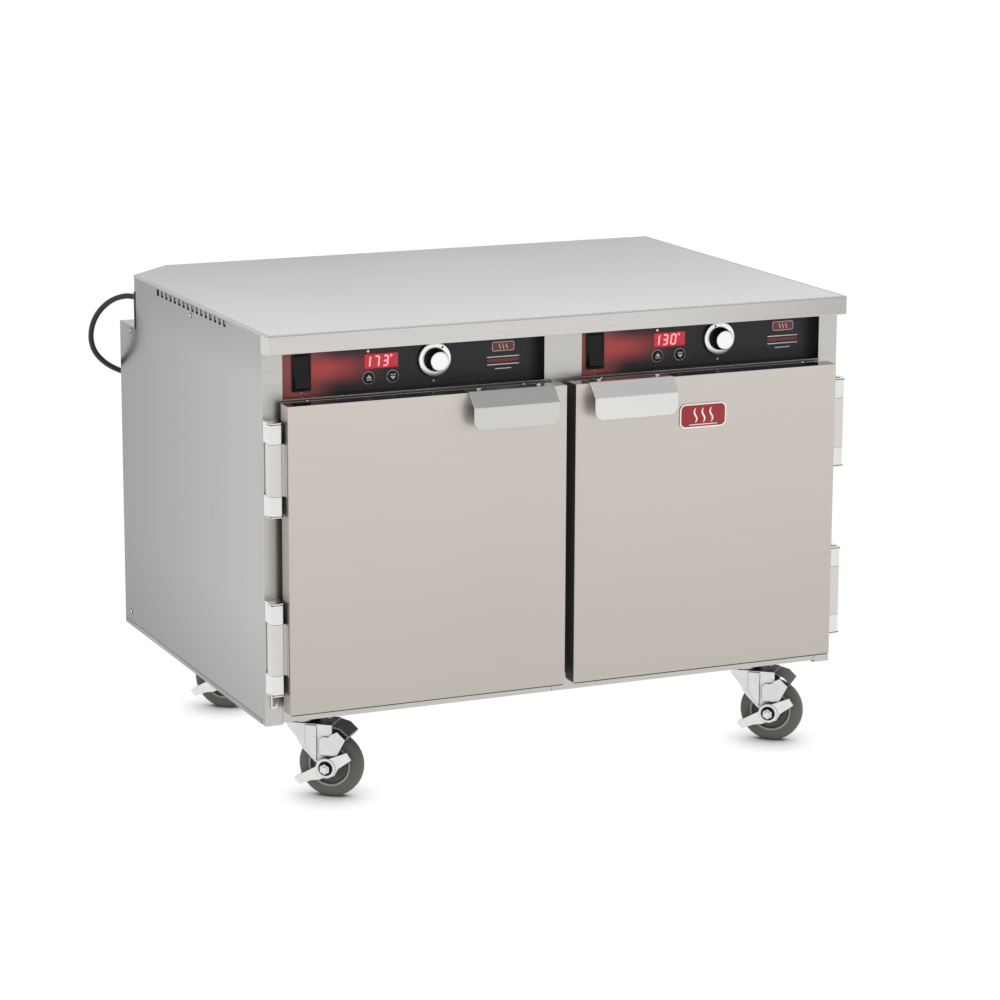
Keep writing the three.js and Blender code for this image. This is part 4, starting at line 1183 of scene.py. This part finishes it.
def plate_bolts(caster):
    """Four cap screws under the corners of the top plate."""
    middle = middle_of(f"{caster}_plate")
    parts = []
    for dx in (-0.039, 0.039):
        for dy in (-0.032, 0.032):
            place = at(middle.x + dx, middle.y + dy, PLATE_UNDERSIDE) @ facing((0, 0, -1))
            for bm in (hexagon(0.0058, -0.0054, -0.0012), ring(0, 0, 0.0078, 0.004, 0, -0.0012, 28)):
                parts.append(moved(bm, place))
    add_piece(f"{caster}_bolts", parts, "screw")


def brake_gear(caster, place):
    """Raised ring on the pedal round the axle nut, with a dark washer inside it."""
    axle = place @ at(TRAIL, 0, AXLE_Z)
    collar = spun([(0.0138, LEVER_FACE), (0.0195, LEVER_FACE), (0.0192, LEVER_FACE - 0.0014),
                   (0.0182, LEVER_FACE - 0.0019), (0.0148, LEVER_FACE - 0.0019), (0.0138, LEVER_FACE - 0.0012),
                   (0.0138, LEVER_FACE)], 64)
    body = f"{caster}_pedal"
    add_piece(f"{caster}_collar", moved(collar, axle), "cast", body)
    washer = ring(0, 0, 0.0139, 0.0064, LEVER_FACE, LEVER_FACE - 0.0002)
    add_piece(f"{caster}_washer", moved(washer, axle), "black_plastic", body)


for caster in CASTERS:
    place = caster_place(caster)
    refined(f"{caster}_plate", "chrome", 0.0008)
    refined(f"{caster}_axle", "cast", 0.0008, 3)
    refined(f"{caster}_brake", "cast", 0.0010, 3)
    caster_fork(caster, place)
    caster_wheel(caster, place)
    plate_bolts(caster)
    brake_gear(caster, place)


# ---------------------------------------------------------------- floor and light
def studio_floor():
    """Sheet that reads plain white, with a soft shadow only close to whatever stands on it."""
    bm = bmesh.new()
    bmesh.ops.create_grid(bm, x_segments=1, y_segments=1, size=60)
    floor = bpy.data.objects.new("floor", mesh_of(moved(bm, at(0, 0, FLOOR_Z)), "floor"))
    made = Shader("floor_paint", Roughness=0.95, Specular_IOR_Level=0.0, Emission_Strength=1.0)
    near = made.node("ShaderNodeAmbientOcclusion", {"Distance": 0.13}, samples=24).outputs["AO"]
    shadow = [(0.24, grey(0.05)), (0.50, grey(0.50)), (0.90, grey(1))]
    made.link(made.ramp(near, shadow), "Emission Color")
    grain = made.noise(40, 2)
    made.link(made.ramp(grain, [(0.3, grey(0.02)), (0.7, grey(0.03))]), "Base Color")
    floor.data.materials.append(made.material)
    SCENE.collection.objects.link(floor)


def studio_world():
    """White horizon that darkens gently overhead."""
    world = bpy.data.worlds.new("studio")
    SCENE.world = world
    world.use_nodes = True
    nodes, links = world.node_tree.nodes, world.node_tree.links
    coords = nodes.new("ShaderNodeTexCoord")
    axes = nodes.new("ShaderNodeSeparateXYZ")
    ramp = nodes.new("ShaderNodeValToRGB")
    links.new(coords.outputs["Generated"], axes.inputs[0])
    links.new(axes.outputs[2], ramp.inputs[0])
    for element, (position, value) in zip(ramp.color_ramp.elements, ((0.25, 1.0), (1.0, 0.5))):
        element.position = position
        element.color = (value, value, value, 1)
    links.new(ramp.outputs[0], nodes["Background"].inputs["Color"])
    nodes["Background"].inputs["Strength"].default_value = 1.0


def studio_lamps():
    sun = bpy.data.lights.new("sun", "SUN")
    sun.energy = 0.9
    sun.angle = math.radians(35)
    lamp = bpy.data.objects.new("sun", sun)
    lamp.rotation_mode = "QUATERNION"
    lamp.rotation_quaternion = Vector((0.35, 0.45, -1.0)).to_track_quat("-Z", "Y")
    SCENE.collection.objects.link(lamp)


studio_floor()
studio_world()
studio_lamps()
SCENE.view_settings.view_transform = "Standard"
